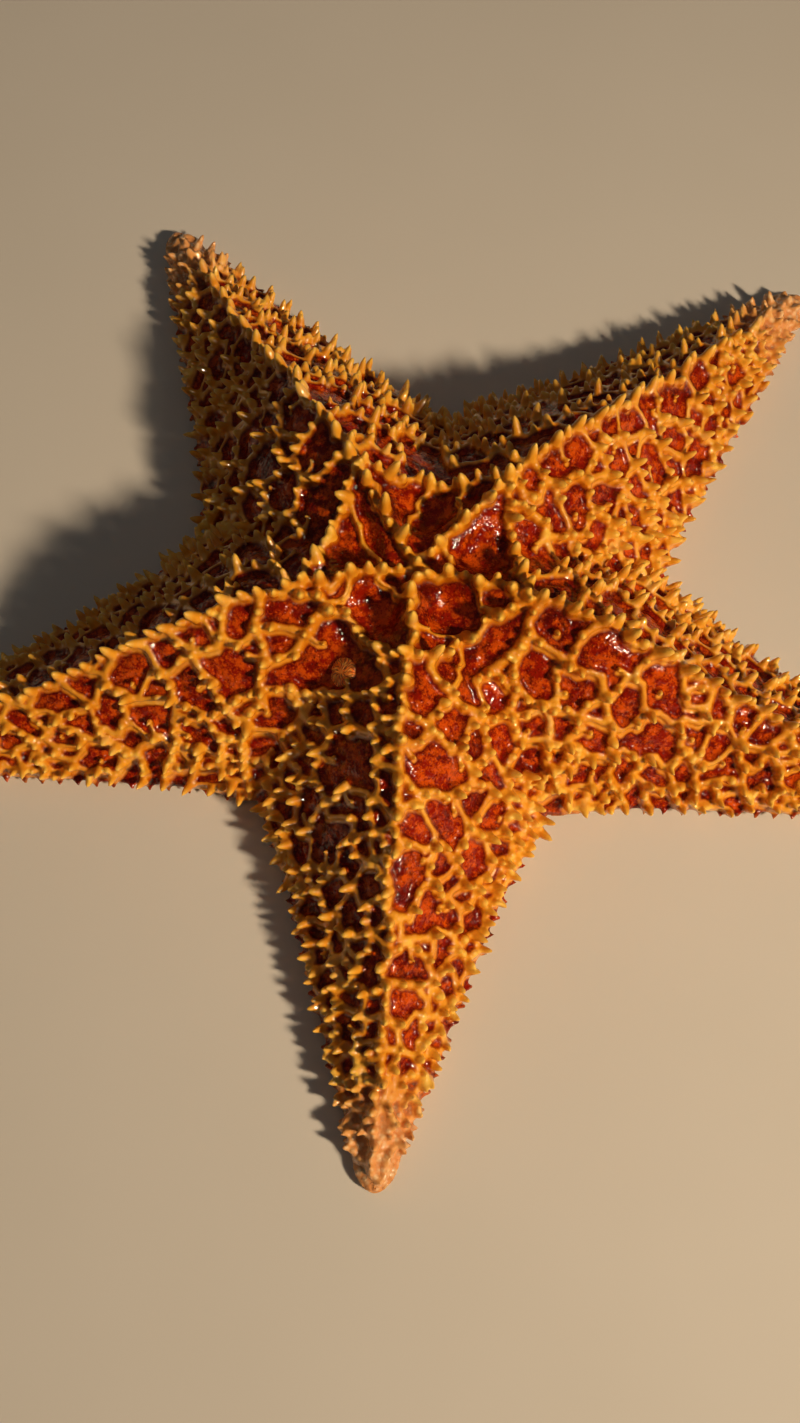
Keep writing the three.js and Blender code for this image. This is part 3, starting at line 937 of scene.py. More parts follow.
def add_side_spines(arm, side):
    outward = np.array([-arm.sin * side, arm.cos * side, 0.0])
    first = max(EDGE_ROW["first"], corners[(arm.index, side)][3])
    for s in stations(arm, first, EDGE_ROW["step"]):
        x, y = arm.to_plan(s, side * RIM_INSET * float(arm.half_width(s)))
        height = mix(EDGE_ROW["height"], RIM_HEIGHT, s / arm.length)
        add_spine((x, y, height), outward + chance.normal(0, LEAN, 3), s / arm.length, EDGE_SPINE)
    for u in np.arange(*COMB_ROW["range"], COMB_ROW["step"] / arm.length):
        x, y = arm.to_plan(u * arm.length, side * (groove_at(u) + COMB_OUT))
        inward = -outward + chance.normal(0, LEAN, 3) * COMB_SWAY
        add_spine((x, y, COMB_ROW["height"]), inward, u, COMB_SPINE)


for arm in arms:
    add_side_spines(arm, 1)
    add_side_spines(arm, -1)
print("points with all spines", body.count)

# %% [markdown]
# ## One skin
#
# A boolean union of nearly three thousand shapes would be slow and easily broken. The remesh builds
# one watertight surface round everything instead, with even small faces, and a few rounds of
# smoothing then melt the cones into the skin like the flesh that covers them.

# %% Remesh into one skin
VOXEL = 0.5
SMOOTH_ROUNDS = 2
SMOOTH_FACTOR = 0.5


def remesh(rough, voxel):
    modifier = rough.modifiers.new("one skin", "REMESH")
    modifier.mode = "VOXEL"
    modifier.voxel_size = voxel * MILLIMETRE
    soften = rough.modifiers.new("soften", "SMOOTH")
    soften.iterations = SMOOTH_ROUNDS
    soften.factor = SMOOTH_FACTOR
    evaluated = rough.evaluated_get(bpy.context.evaluated_depsgraph_get())
    mesh = bpy.data.meshes.new_from_object(evaluated)
    old = rough.data
    rough.modifiers.clear()
    rough.data = mesh
    bpy.data.meshes.remove(old)
    return mesh


skin = body.make("skin")
skin_mesh = remesh(skin, VOXEL)
print("skin faces", len(skin_mesh.polygons))

# %% [markdown]
# ## Measures for the colours
#
# The paint follows the shape: the net is orange, painted lighter on its crest as painted highlight
# and darker down its sides as painted shade, what is sunken is dark red, and cone tips are paler,
# partly as painted highlight.
# So each point of the skin is measured once, and the measures are kept on the mesh as named
# attributes that the material reads. They belong to the surface and stay put from any side.

# %% Reading and storing the points of a mesh
def coordinates(mesh):
    flat = np.empty(3 * len(mesh.vertices), np.float32)
    mesh.vertices.foreach_get("co", flat)
    return flat.reshape(-1, 3).astype(float) / MILLIMETRE


def store(mesh, name, values):
    attribute = mesh.attributes.new(name, "FLOAT", "POINT")
    attribute.data.foreach_set("value", np.ascontiguousarray(values, np.float32))


skin_places = coordinates(skin_mesh)
skin_places[:, 2] = np.maximum(skin_places[:, 2], 0.0)
skin_mesh.vertices.foreach_set("co", (skin_places * MILLIMETRE).astype(np.float32).ravel())
print("points of the skin", len(skin_places))

# %% How far up a cone every point lies
CONE_REACH = 1.5


def cone_rise(points):
    """How far up its nearest cone a point lies, from 0 at the foot to 1 at the tip."""
    rise = np.zeros(len(points))
    order = np.argsort(points[:, 0])
    ranked = points[order]
    for foot, axis, length, radius in cones:
        reach = length + radius
        first, last = np.searchsorted(ranked[:, 0], [foot[0] - reach, foot[0] + reach])
        near = first + np.nonzero(np.abs(ranked[first:last, 1] - foot[1]) < reach)[0]
        away = ranked[near] - foot
        up = away @ axis
        off = np.linalg.norm(away - up[:, None] * axis, axis=-1)
        on_cone = (off < CONE_REACH * radius) & (up > 0) & (up < reach)
        hit = order[near[on_cone]]
        rise[hit] = np.maximum(rise[hit], up[on_cone] / length)
    return np.clip(rise, 0, 1)


store(skin_mesh, "cone", cone_rise(skin_places))
print("measures", skin_mesh.attributes.keys())

# %% How far every point lies from the net, the tips and the under side
RAISED_RANGE = (0.1, 0.55)
PALE_RANGE = (0.8, 0.93)
UPPER_RANGE = (1.8, 3.4)
UNDER_DROP = 3.4
UNDER_INSET = 1.2

skin_inset, _, skin_u = survey(skin_places[:, 0], skin_places[:, 1])
skin_crest = on_top(skin_places[:, :2])
skin_slope = top_normal(skin_places[:, 0], skin_places[:, 1])[:, 2]
skin_lift = (skin_places[:, 2] - skin_crest[:, 2]) * skin_slope
raised = smooth_step(skin_lift, *RAISED_RANGE)
skin_under = (skin_lift < -UNDER_DROP) & (skin_inset > UNDER_INSET)
skin_under = np.where(skin_under, 1.0, 1.0 - smooth_step(skin_places[:, 2], *UPPER_RANGE))
store(skin_mesh, "away", net_distance(skin_crest) * (1 - raised))
store(skin_mesh, "pale", smooth_step(skin_u, *PALE_RANGE))
store(skin_mesh, "under", skin_under)
print("share of the skin that is under %.2f" % float(skin_under.mean()))

# %% [markdown]
# ## A flat map of the skin
#
# Procedural colours last in a model file only when they are baked into a picture, and that needs a
# map that lays the skin out flat. An automatic unwrap would cut a skin like this into thousands of
# scraps. A starfish is nearly flat already, so the map is its own plan: the upper side large, the
# under side and the undersides of overhanging cones smaller beside it.

# %% Lay the skin out flat
MAP_NAME = "OFBake"
MAP_SPAN = 2.1 * RADIUS
MAP_UPPER = 0.66
MAP_SMALL = 0.32
MAP_GAP = 0.01
OVERHANG = 0.05


def face_values(mesh, name, kind):
    values = np.empty(len(mesh.polygons), kind)
    mesh.polygons.foreach_get(name, values)
    return values


def add_plan_map(mesh, places, under):
    loops = np.empty(len(mesh.loops), np.int32)
    mesh.loops.foreach_get("vertex_index", loops)
    starts = face_values(mesh, "loop_start", np.int32)
    normals = np.empty(3 * len(mesh.polygons), np.float32)
    mesh.polygons.foreach_get("normal", normals)
    face = np.repeat(np.arange(len(starts)), face_values(mesh, "loop_total", np.int32))
    face_under = (under[loops[starts]] > 0.5)[face]
    face_over = (normals.reshape(-1, 3)[:, 2] < OVERHANG)[face] & ~face_under
    size = np.where(face_under | face_over, MAP_SMALL, MAP_UPPER)
    corner_x = np.where(face_under | face_over, MAP_UPPER + MAP_GAP, 0.0)
    corner_y = np.where(face_under, MAP_SMALL + MAP_GAP, 0.0)
    share = places[loops, :2] / MAP_SPAN + 0.5
    spots = np.column_stack([corner_x + share[:, 0] * size, corner_y + share[:, 1] * size])
    layer = mesh.uv_layers.new(name=MAP_NAME)
    layer.data.foreach_set("uv", spots.astype(np.float32).ravel())


add_plan_map(skin_mesh, skin_places, skin_under)
print("map", skin_mesh.uv_layers.keys())

# %% [markdown]
# ## Paint and texture in nodes
#
# A material is a small calculation. Written as nodes one by one it is long and hard to read, so a
# helper lets the sums be written as sums: a Field is a number that varies over the surface, and
# adding or multiplying fields adds the nodes. Every other node comes from one method, which takes
# the node's kind, then its settings, then what goes into its sockets.

# %% A way to write shader sums
class Field:
    """A number that varies over the surface."""

    def __init__(self, finish, socket):
        self.finish = finish
        self.socket = socket

    def sum(self, operation, first, second):
        made = self.finish.node("ShaderNodeMath", {"operation": operation}, {0: first, 1: second})
        return Field(self.finish, made.outputs[0])

    def __add__(self, other):
        return self.sum("ADD", self, other)

    __radd__ = __add__

    def __sub__(self, other):
        return self.sum("SUBTRACT", self, other)

    def __rsub__(self, other):
        return self.sum("SUBTRACT", other, self)

    def __mul__(self, other):
        return self.sum("MULTIPLY", self, other)

    __rmul__ = __mul__


def linear(colour):
    """A colour given as it looks on a screen, 0 to 255, as the shader's own light values."""
    return (*Color([part / 255 for part in colour]).from_srgb_to_scene_linear(), 1.0)


print("middle grey as light %.3f" % linear((128, 128, 128))[0])

# %% A material and its nodes
NODE_SPACING = 40
MIX_COLOURS = (6, 7)
MIX_RESULT = 2


class Finish:
    """One material: its shader, and one method that adds any node."""

    def __init__(self, name, **constants):
        self.material = bpy.data.materials.new(name)
        self.material.use_nodes = True
        self.tree = self.material.node_tree
        self.shader = self.tree.nodes["Principled BSDF"]
        for socket, value in constants.items():
            self.shader.inputs[socket.replace("_", " ")].default_value = value
        self.place = self.node("ShaderNodeTexCoord").outputs["Object"]

    def node(self, kind, settings=None, inputs=None):
        made = self.tree.nodes.new(kind)
        made.location = (-NODE_SPACING * len(self.tree.nodes), 0)
        for name, value in (settings or {}).items():
            setattr(made, name, value)
        for name, value in (inputs or {}).items():
            source = value.socket if isinstance(value, Field) else value
            if isinstance(source, bpy.types.NodeSocket):
                self.tree.links.new(source, made.inputs[name])
            else:
                made.inputs[name].default_value = source
        return made

    def measure(self, name):
        return Field(self, self.node("ShaderNodeAttribute", {"attribute_name": name}).outputs["Fac"])

    def noise(self, size, detail=2.0, roughness=0.5):
        """Cloudy noise from 0 to 1 with clouds about so many millimetres across."""
        scale = 1 / (size * MILLIMETRE)
        inputs = {"Vector": self.place, "Scale": scale, "Detail": detail, "Roughness": roughness}
        return Field(self, self.node("ShaderNodeTexNoise", {}, inputs).outputs["Fac"])

    def grains(self, size):
        """Distance from the middle of the nearest grain, for grains so many millimetres apart."""
        inputs = {"Vector": self.place, "Scale": 1 / (size * MILLIMETRE)}
        return Field(self, self.node("ShaderNodeTexVoronoi", {}, inputs).outputs["Distance"])

    def step(self, value, start, end):
        settings = {"interpolation_type": "SMOOTHSTEP"}
        inputs = {"Value": value, "From Min": start, "From Max": end}
        return Field(self, self.node("ShaderNodeMapRange", settings, inputs).outputs["Result"])

    def blend(self, share, first, second):
        """A colour between two colours; share 0 gives the first."""
        inputs = {"Factor": share}
        for socket, colour in zip(MIX_COLOURS, (first, second)):
            inputs[socket] = linear(colour) if isinstance(colour, tuple) else colour
        return self.node("ShaderNodeMix", {"data_type": "RGBA"}, inputs).outputs[MIX_RESULT]

    def set(self, **sockets):
        for name, value in sockets.items():
            source = value.socket if isinstance(value, Field) else value
            self.tree.links.new(source, self.shader.inputs[name.replace("_", " ")])

    def bump(self, height, distance, strength=1.0):
        """Bump from a height field whose full range stands so many millimetres tall."""
        inputs = {"Height": height, "Distance": distance * MILLIMETRE, "Strength": strength}
        self.set(Normal=self.node("ShaderNodeBump", {}, inputs).outputs["Normal"])


print("sockets of the shader are set by name, such as", "Coat_Roughness".replace("_", " "))

# %% [markdown]
# ## The finish of the skin
#
# The live animal is wet. The net is smooth and waxy under a thin clear coat, an amber orange. It is
# painted lighter along its crest and towards the knots as painted highlight, with pale patches of
# painted sheen there, paler at the cone tips, partly their own colour and partly painted highlight,
# and painted darker down its sides as painted shade. The sunken skin between its threads is dark red,
# marbled with rust, with nearly black blotches and a band of painted shade along the foot of the net.
# The marbling is colour alone, because steep bumps would scatter the light into a milky veil. What
# makes the skin look wet is the film of water on it: low swells and flat drops about a millimetre
# apart, which each catch a bright glint.
#
# Net and skin could be two materials with a seam between them. Here one material paints both and
# blends them by how far a point lies from the net, so that the colours can't drift off the shapes.
# First come the colours, then the sizes of the patterns, each with a range of its pattern over
# which it sets in and a share that says how strongly.

# %% Paint of the sunken skin
SKIN_DEEP = (80, 8, 1)
SKIN_RED = (138, 22, 1)
SKIN_RUST = (214, 84, 8)
GILL_SIZE = 0.7
MARBLE_SIZE = 3.4
RUST_BY_FLECKS = 0.4
RUST_BY_PORES = 0.2
RUST_LESS_BY_GILLS = 0.15
RUST_RANGE = (0.62, 0.86)
RUST_SHARE = 0.85
DEEP_BY_FLECKS = 0.6
DEEP_BY_CLOUDS = 0.5
DEEP_LESS_FAR_OUT = 0.03
DEEP_NEAR = 2.0
DEEP_RANGE = (0.62, 0.4)
DEEP_SHARE = 0.9
# The dark band at the foot of the net is painted shade, where the ridges shade the sunken skin.
SHADE_BORDER_RANGE = (1.8, 1.25)
SHADE_BORDER_SHARE = 0.6


def sunken_paint(finish, away, ragged, flecks, clouds, fine):
    """Red marbled with rust, darkest in blotches, and with painted shade in a dark band along the net."""
    gills = finish.grains(GILL_SIZE)
    marble = finish.noise(MARBLE_SIZE, detail=3.0, roughness=0.6)
    rusty = marble + RUST_BY_FLECKS * flecks + RUST_BY_PORES * fine - RUST_LESS_BY_GILLS * gills
    rust = finish.step(rusty, *RUST_RANGE)
    bright = DEEP_BY_FLECKS * flecks + DEEP_BY_CLOUDS * clouds + DEEP_LESS_FAR_OUT * (away - DEEP_NEAR)
    deep = finish.step(bright, *DEEP_RANGE)
    # painted shade: a dark band where the sunken skin meets the net
    shade_border = finish.step(ragged, *SHADE_BORDER_RANGE)
    colour = finish.blend(RUST_SHARE * rust, SKIN_RED, SKIN_RUST)
    colour = finish.blend(DEEP_SHARE * deep, colour, SKIN_DEEP)
    return finish.blend(SHADE_BORDER_SHARE * shade_border, colour, SKIN_DEEP)


print("the sunken skin goes from", SKIN_DEEP, "over", SKIN_RED, "to", SKIN_RUST)

# %% Paint of the net and its cones
# The darkest net colour is painted shade down the sides of the ridges.
NET_SIDE_SHADE = (146, 52, 2)
NET_ORANGE = (212, 122, 14)
NET_LIGHT = (252, 182, 50)
NET_PALE = (240, 186, 104)
# The paler cone tips are partly the cones' own colour and partly painted highlight.
CONE_TIP = (255, 206, 84)
# The crest of the net is painted lighter as a painted highlight.
CREST_HIGHLIGHT_RANGE = (0.95, 0.25)
CREST_HIGHLIGHT_SHARE = 0.2
WARM_BY_FLECKS = 0.3
WARM_RANGE = (0.4, 0.9)
WARM_SHARE = 0.65
# Pale patches on the crest are painted sheen, standing in for the wet shine of the net.
SHEEN_BY_FLECKS = 0.5
SHEEN_LESS_BY_PORES = 0.3
SHEEN_RANGE = (0.68, 0.84)
SHEEN_SHARE = 0.6
CONE_RANGE = (0.35, 1.0)
CONE_SHARE = 0.85
SIDE_SHADE_RANGE = (0.6, 1.3)


def raised_paint(finish, away, cone, flecks, clouds, fine):
    """Orange with a painted highlight along the crest, pale painted sheen on it in places, and painted
    shade down the sides.
    """
    # painted highlight: the net is lighter along its crest
    crest = finish.step(away, *CREST_HIGHLIGHT_RANGE)
    warm = finish.step(clouds + WARM_BY_FLECKS * flecks, *WARM_RANGE)
    # painted sheen: pale patches on the crest of the net
    crest_sheen = finish.step(clouds + SHEEN_BY_FLECKS * flecks - SHEEN_LESS_BY_PORES * fine, *SHEEN_RANGE)
    colour = finish.blend(WARM_SHARE * crest * warm + CREST_HIGHLIGHT_SHARE * crest, NET_ORANGE, NET_LIGHT)
    colour = finish.blend(SHEEN_SHARE * crest_sheen * crest, colour, NET_PALE)
    # paler towards the cone tips: partly their own colour, partly painted highlight
    colour = finish.blend(CONE_SHARE * finish.step(cone, *CONE_RANGE), colour, CONE_TIP)
    # painted shade: the net darkens down its sides
    return finish.blend(finish.step(away, *SIDE_SHADE_RANGE), colour, NET_SIDE_SHADE)


print("the net goes from", NET_SIDE_SHADE, "over", NET_ORANGE, "to", NET_LIGHT)

# %% Paint of the arm tips and of the under side
ARM_TIP = (232, 160, 96)
ARM_TIP_PALE = (246, 204, 152)
UNDER_TAN = (206, 138, 66)
UNDER_CREAM = (236, 190, 124)
TIP_BY_FLECKS = 0.4
TIP_SPOTS = (0.75, 0.35)
UNDER_LESS_BY_KNOBS = 0.5
UNDER_SPOTS = (0.1, 0.5)


def tip_paint(finish, flecks, knobs):
    spots = finish.step(knobs + TIP_BY_FLECKS * flecks, *TIP_SPOTS)
    return finish.blend(spots, ARM_TIP, ARM_TIP_PALE)


def under_paint(finish, flecks, knobs):
    spots = finish.step(flecks - UNDER_LESS_BY_KNOBS * knobs, *UNDER_SPOTS)
    return finish.blend(spots, UNDER_TAN, UNDER_CREAM)


print("the tips end in", ARM_TIP_PALE, "and the under side in", UNDER_CREAM)

# %% Relief of the skin
KNOB_RELIEF = 0.4
UNDER_RELIEF = 0.5
FILM_SIZE = 1.0
FILM_RELIEF = 0.22
DROP_SPACING = 1.1
DROP_EDGE = 0.34
DROP_RELIEF = 0.24
FLECK_RELIEF = 0.12
WAX_RELIEF = 0.1


def skin_relief(finish, sunken, pale, under, flecks, fine, knobs):
    """Heights in millimetres: film and drops on the sunken skin, wax on the net, granules below."""
    film = finish.noise(FILM_SIZE, detail=0.0)
    drops = finish.step(finish.grains(DROP_SPACING), DROP_EDGE, 0.0)
    wet = FILM_RELIEF * film + DROP_RELIEF * drops + FLECK_RELIEF * flecks
    waxy = WAX_RELIEF * (fine + flecks)
    granules = KNOB_RELIEF * pale + UNDER_RELIEF * under
    return wet * sunken + waxy * (1 - sunken) + granules * (1 - knobs)


print("the water stands up to %.2f mm high" % (FILM_RELIEF + DROP_RELIEF + FLECK_RELIEF))

# %% The whole finish of the skin
FLECK_SIZE = 2.0
CLOUD_SIZE = 10.0
PORE_SIZE = 0.5
KNOB_SIZE = 1.7
RAGGED_BY_FLECKS = 0.9
RAGGED_BY_PORES = 0.35
SUNKEN_RANGE = (1.03, 1.38)
PALE_SHARE = 0.85
WAX_ROUGHNESS = 0.26
PORE_ROUGHNESS = 0.1
WET_RANGE = (0.6, 1.0)
WET_SMOOTHER = 0.2
COAT_LEAST = 0.75
COAT_VARIES = 0.25
SUNKEN_BARE = 0.95


def skin_finish():
    finish = Finish("wet skin", Coat_Roughness=0.05, IOR=1.38, Coat_IOR=1.52)
    away = finish.measure("away")
    pale = finish.measure("pale")
    under = finish.measure("under")
    flecks = finish.noise(FLECK_SIZE, detail=4.0, roughness=0.65)
    clouds = finish.noise(CLOUD_SIZE)
    fine = finish.noise(PORE_SIZE)
    knobs = finish.grains(KNOB_SIZE)

    ragged = away + RAGGED_BY_FLECKS * (flecks - 0.5) + RAGGED_BY_PORES * (fine - 0.5)
    sunken = finish.step(ragged, *SUNKEN_RANGE)
    raised_colour = raised_paint(finish, away, finish.measure("cone"), flecks, clouds, fine)
    sunken_colour = sunken_paint(finish, away, ragged, flecks, clouds, fine)
    upper = finish.blend(sunken, raised_colour, sunken_colour)
    upper = finish.blend(PALE_SHARE * pale, upper, tip_paint(finish, flecks, knobs))
    finish.set(Base_Color=finish.blend(under, upper, under_paint(finish, flecks, knobs)))

    wet = finish.step(ragged, *WET_RANGE)
    finish.set(Roughness=WAX_ROUGHNESS + PORE_ROUGHNESS * fine - WET_SMOOTHER * wet)
    finish.set(Coat_Weight=(COAT_LEAST + COAT_VARIES * clouds) * (1 - SUNKEN_BARE * sunken))
    finish.bump(skin_relief(finish, sunken, pale, under, flecks, fine, knobs), distance=1.0)
    return finish.material


def paint(mesh, material):
    mesh.materials.clear()
    mesh.materials.append(material)
    mesh.polygons.foreach_set("use_smooth", np.ones(len(mesh.polygons), bool))


paint(skin_mesh, skin_finish())
print("skin painted with", skin_mesh.materials[0].name)

# %% [markdown]
# ## The sieve plate
#
# Off the middle, between two arms, a small round plate lets water into the animal. It is stony,
# slightly domed and furrowed by fine crooked grooves. A disc of rings and spokes is enough, pressed
# up and down by a formula that doubles the furrows on their way out and makes them wander.

# %% Furrows of the sieve plate
FURROWS = 11
FURROW_DEPTH = 0.16
FURROW_EDGE = (0.0, 0.9)
FURROWS_START = (0.1, 0.3)
FURROWS_FORK = (0.45, 0.7)
FORK_TURN = 0.6
WANDER_INWARD = {"size": 1.5, "waves": 5}
WANDER_ROUND = {"size": 1.1, "lobes": 3, "twist": 7}
WANDER_BACK = {"size": 0.8, "lobes": 5, "twist": -11}


def wander(turn, share, sizes):
    return sizes["size"] * np.sin(sizes["lobes"] * turn + sizes["twist"] * share)


def furrows_at(turn, share):
    """One in a furrow and zero between furrows, at angles round the plate and a share outwards."""
    inward = WANDER_INWARD["size"] * math.sin(WANDER_INWARD["waves"] * share)
    twist = FURROWS * turn + (inward + wander(turn, share, WANDER_ROUND))
    twist = twist + wander(turn, share, WANDER_BACK)
    branch = mix(np.sin(twist), np.sin(2 * twist + FORK_TURN), smooth_step(share, *FURROWS_FORK))
    return smooth_step(-branch, *FURROW_EDGE) * smooth_step(share, *FURROWS_START)


print("furrows at the rim", FURROWS * 2)

# %% Sieve plate
SIEVE_RADIUS = 3.7
SIEVE_RINGS = 34
SIEVE_SPOKES = 220
SIEVE_DOME = 0.7
SIEVE_SINK = 0.5
SIEVE_THICK = 1.2
SIEVE_EYE = 0.02
SCALLOP = 0.06
SCALLOP_BUMPS = (4, 1.5)
SCALLOP_TURN = 0.7


def sieve_rings():
    """Rings from the disc's foot over its rim to its middle, with z upwards, and their furrows."""
    turn = np.arange(SIEVE_SPOKES) * 2 * math.pi / SIEVE_SPOKES
    bumps = np.abs(np.sin(SCALLOP_BUMPS[0] * turn + SCALLOP_TURN))
    scallop = 1 + SCALLOP * (bumps - np.abs(np.sin(SCALLOP_BUMPS[1] * turn)))
    circle = SIEVE_RADIUS * scallop * np.stack([np.cos(turn), np.sin(turn)])
    rings = [np.stack([*circle, 0 * turn - SIEVE_THICK], axis=-1)]
    furrows = [0 * turn + 1]
    for share in np.linspace(1.0, SIEVE_EYE, SIEVE_RINGS):
        furrows.append(furrows_at(turn, share))
        height = SIEVE_DOME * (1 - share**4) - FURROW_DEPTH * furrows[-1]
        rings.append(np.stack([*(circle * share), height], axis=-1))
    return np.array(rings), np.concatenate(furrows + [np.ones(1), np.zeros(1)])


def frame_of(axis):
    """Two directions square to an axis, and the axis itself, as rows."""
    side = np.cross((0.0, 1.0, 0.0), axis)
    side /= np.linalg.norm(side)
    return np.stack([side, np.cross(axis, side), axis])


sieve_normal = top_normal(SIEVE_PLACE[:1], SIEVE_PLACE[1:])[0]
sieve_middle = on_top(SIEVE_PLACE[None])[0] - sieve_normal * SIEVE_SINK
sieve_points, sieve_furrows = sieve_rings()
sieve_shape = Shape()
sieve_shape.add_tube(sieve_points @ frame_of(sieve_normal) + sieve_middle)
sieve = sieve_shape.make("sieve")
store(sieve.data, "furrow", sieve_furrows)
print("sieve plate at", np.round(sieve_middle, 1))

# %% [markdown]
# ## The finish of the sieve plate
#
# The plate is dry-looking stone beside the wet skin: orange, painted brighter than its own colour as
# painted light because it lies in shade, paler in flecks, with painted shade in its furrows. A brown
# texture could be laid over it, but the shade would miss the furrows. The depth of each furrow was
# stored on the mesh when the plate was made, so the brown follows it exactly.

# %% Finish of the sieve plate
# The orange and the pale are brighter than the plate's own colour: painted light, because the plate lies
# in shade.
SIEVE_ORANGE = (255, 130, 28)
SIEVE_FURROW_SHADE = (132, 40, 4)
SIEVE_PALE = (255, 186, 84)
SIEVE_FLECK = 1.1
SIEVE_FLECK_RANGE = (0.35, 0.7)
FURROW_SHADE_SHARE = 0.7
STONE_ROUGHNESS = (0.4, 0.2)
STONE_RELIEF = 0.35
STONE_BUMP = 0.7


def sieve_finish():
    finish = Finish("stony plate", Coat_Roughness=0.12, Coat_Weight=0.4)
    depth = finish.measure("furrow")
    flecks = finish.noise(SIEVE_FLECK, detail=3.0, roughness=0.6)
    stone = finish.blend(finish.step(flecks, *SIEVE_FLECK_RANGE), SIEVE_ORANGE, SIEVE_PALE)
    # painted shade: brown in the furrows, by their depth
    finish.set(Base_Color=finish.blend(FURROW_SHADE_SHARE * depth, stone, SIEVE_FURROW_SHADE))
    finish.set(Roughness=STONE_ROUGHNESS[0] + STONE_ROUGHNESS[1] * flecks)
    finish.bump(flecks, STONE_RELIEF, STONE_BUMP)
    return finish.material


paint(sieve.data, sieve_finish())
print("sieve plate painted with", sieve.data.materials[0].name)

# %% [markdown]
# ## The mouth
#
# The mouth is in the middle of the under side: a soft pleated skin that draws together round a
# small hole, with five jaws between the grooves that carry combs of blunt spines. The jaws and
# spines are turned shapes like the cones, melted into the pleated skin by a finer remesh.

# %% Pleated skin of the mouth
MOUTH_SKIN_RADIUS = 9.2
MOUTH_RINGS = 26
MOUTH_SPOKES = 150
MOUTH_TOP = 6.3
MOUTH_SKIN_HEIGHT = 5.0
MOUTH_SKIN_THICK = 1.1
MOUTH_HOLE = 1.2
PLEATS = 15
PLEAT_HEIGHT = 0.35


def mouth_skin_rings():
    turn = np.arange(MOUTH_SPOKES) * 2 * math.pi / MOUTH_SPOKES
    lower = []
    upper = []
    for share in np.linspace(0, 1, MOUTH_RINGS):
        out = mix(MOUTH_HOLE, MOUTH_SKIN_RADIUS, share)
        rise = (MOUTH_TOP - MOUTH_SKIN_HEIGHT) * (1 - share) ** 3
        pleat = PLEAT_HEIGHT * np.cos(PLEATS * turn) * math.sin(math.pi * share)
        circle = out * np.column_stack([np.cos(turn), np.sin(turn)])
        lower.append(np.column_stack([circle, MOUTH_SKIN_HEIGHT + rise + pleat]))
        upper.append(np.column_stack([circle, 0 * turn + MOUTH_SKIN_HEIGHT + rise + MOUTH_SKIN_THICK]))
    return np.array(upper[::-1] + lower)


def add_ring_body(shape, rings):
    """Rings closed round into a body with a hole through its middle."""
    looped = np.concatenate([rings, rings[:1]])
    closed = np.concatenate([looped, looped[:, :1]], axis=1)
    shape.add_grid(closed, False)


mouth_shape = Shape()
add_ring_body(mouth_shape, mouth_skin_rings())
print("points of the pleated skin", mouth_shape.count)

# %% Jaws with their spines
JAW = {"distance": 9.4, "height": 3.6, "length": 4.6, "radius": 1.9, "blunt": 2.2}
JAW_SPINES = 7
JAW_SPREAD = 0.95
JAW_SPINE = {"distance": 6.2, "height": 2.4, "length": 3.4, "radius": 0.55, "blunt": 2.4}
SPINE_FAN = 0.35
SPINE_DROP = 0.12
MOUTH_VOXEL = 0.3

for arm in arms:
    direction = corners[(arm.index, 1)][1]
    inward = np.array([-math.cos(direction), -math.sin(direction), 0.0])
    foot = -inward * JAW["distance"] + (0, 0, JAW["height"])
    add_cone(mouth_shape, foot, inward, JAW["length"], JAW["radius"], JAW["blunt"])
    for spread in np.linspace(-JAW_SPREAD, JAW_SPREAD, JAW_SPINES):
        turn = direction + spread / 2
        foot = np.array([math.cos(turn), math.sin(turn), 0]) * JAW_SPINE["distance"]
        foot[2] = JAW_SPINE["height"]
        fan = SPINE_FAN * spread
        axis = inward + (fan * inward[1], -fan * inward[0], -SPINE_DROP)
        axis /= np.linalg.norm(axis)
        length, radius, blunt = (JAW_SPINE[size] for size in ("length", "radius", "blunt"))
        add_cone(mouth_shape, foot - axis, axis, length, radius, blunt)
mouth = mouth_shape.make("mouth_parts")
mouth_mesh = remesh(mouth, MOUTH_VOXEL)
print("mouth faces", len(mouth_mesh.polygons))

# %% [markdown]
# ## Tube feet
#
# Each groove holds two rows of soft feet, water-filled tubes that end in a sucker. They are short
# closed tubes of their own, because they stand free of the skin; each row is a loop along the arm,
# and every foot bends its own way so that no two look alike.

# %% Tube feet
FOOT_RANGE = (0.11, 0.9)
FOOT_STEP = (2.7, 2.2)
FOOT_OFF_SHARE = 0.42
FOOT_SIDES = 10
FOOT_STATIONS = (0.0, 0.35, 0.7, 0.88, 0.94, 1.0)
FOOT_RADII = (0.62, 0.58, 0.52, 0.6, 0.88, 0.82)
FOOT_LOWEST = (0.35, 1.6)
FOOT_ROOT = 0.9
FOOT_BEND = 0.9
FOOT_JITTER = 0.25
FOOT_UNDER_SHARE = 0.1


def add_foot(shape, x, y, top, bottom, bend):
    turn = np.arange(FOOT_SIDES) * 2 * math.pi / FOOT_SIDES
    rings = []
    for share, radius in zip(FOOT_STATIONS, FOOT_RADII):
        middle = (x + bend[0] * share**2, y + bend[1] * share**2, mix(top, bottom, share))
        rings.append(np.column_stack([radius * np.cos(turn), radius * np.sin(turn), 0 * turn]) + middle)
    shape.add_tube(np.array(rings)[::-1])


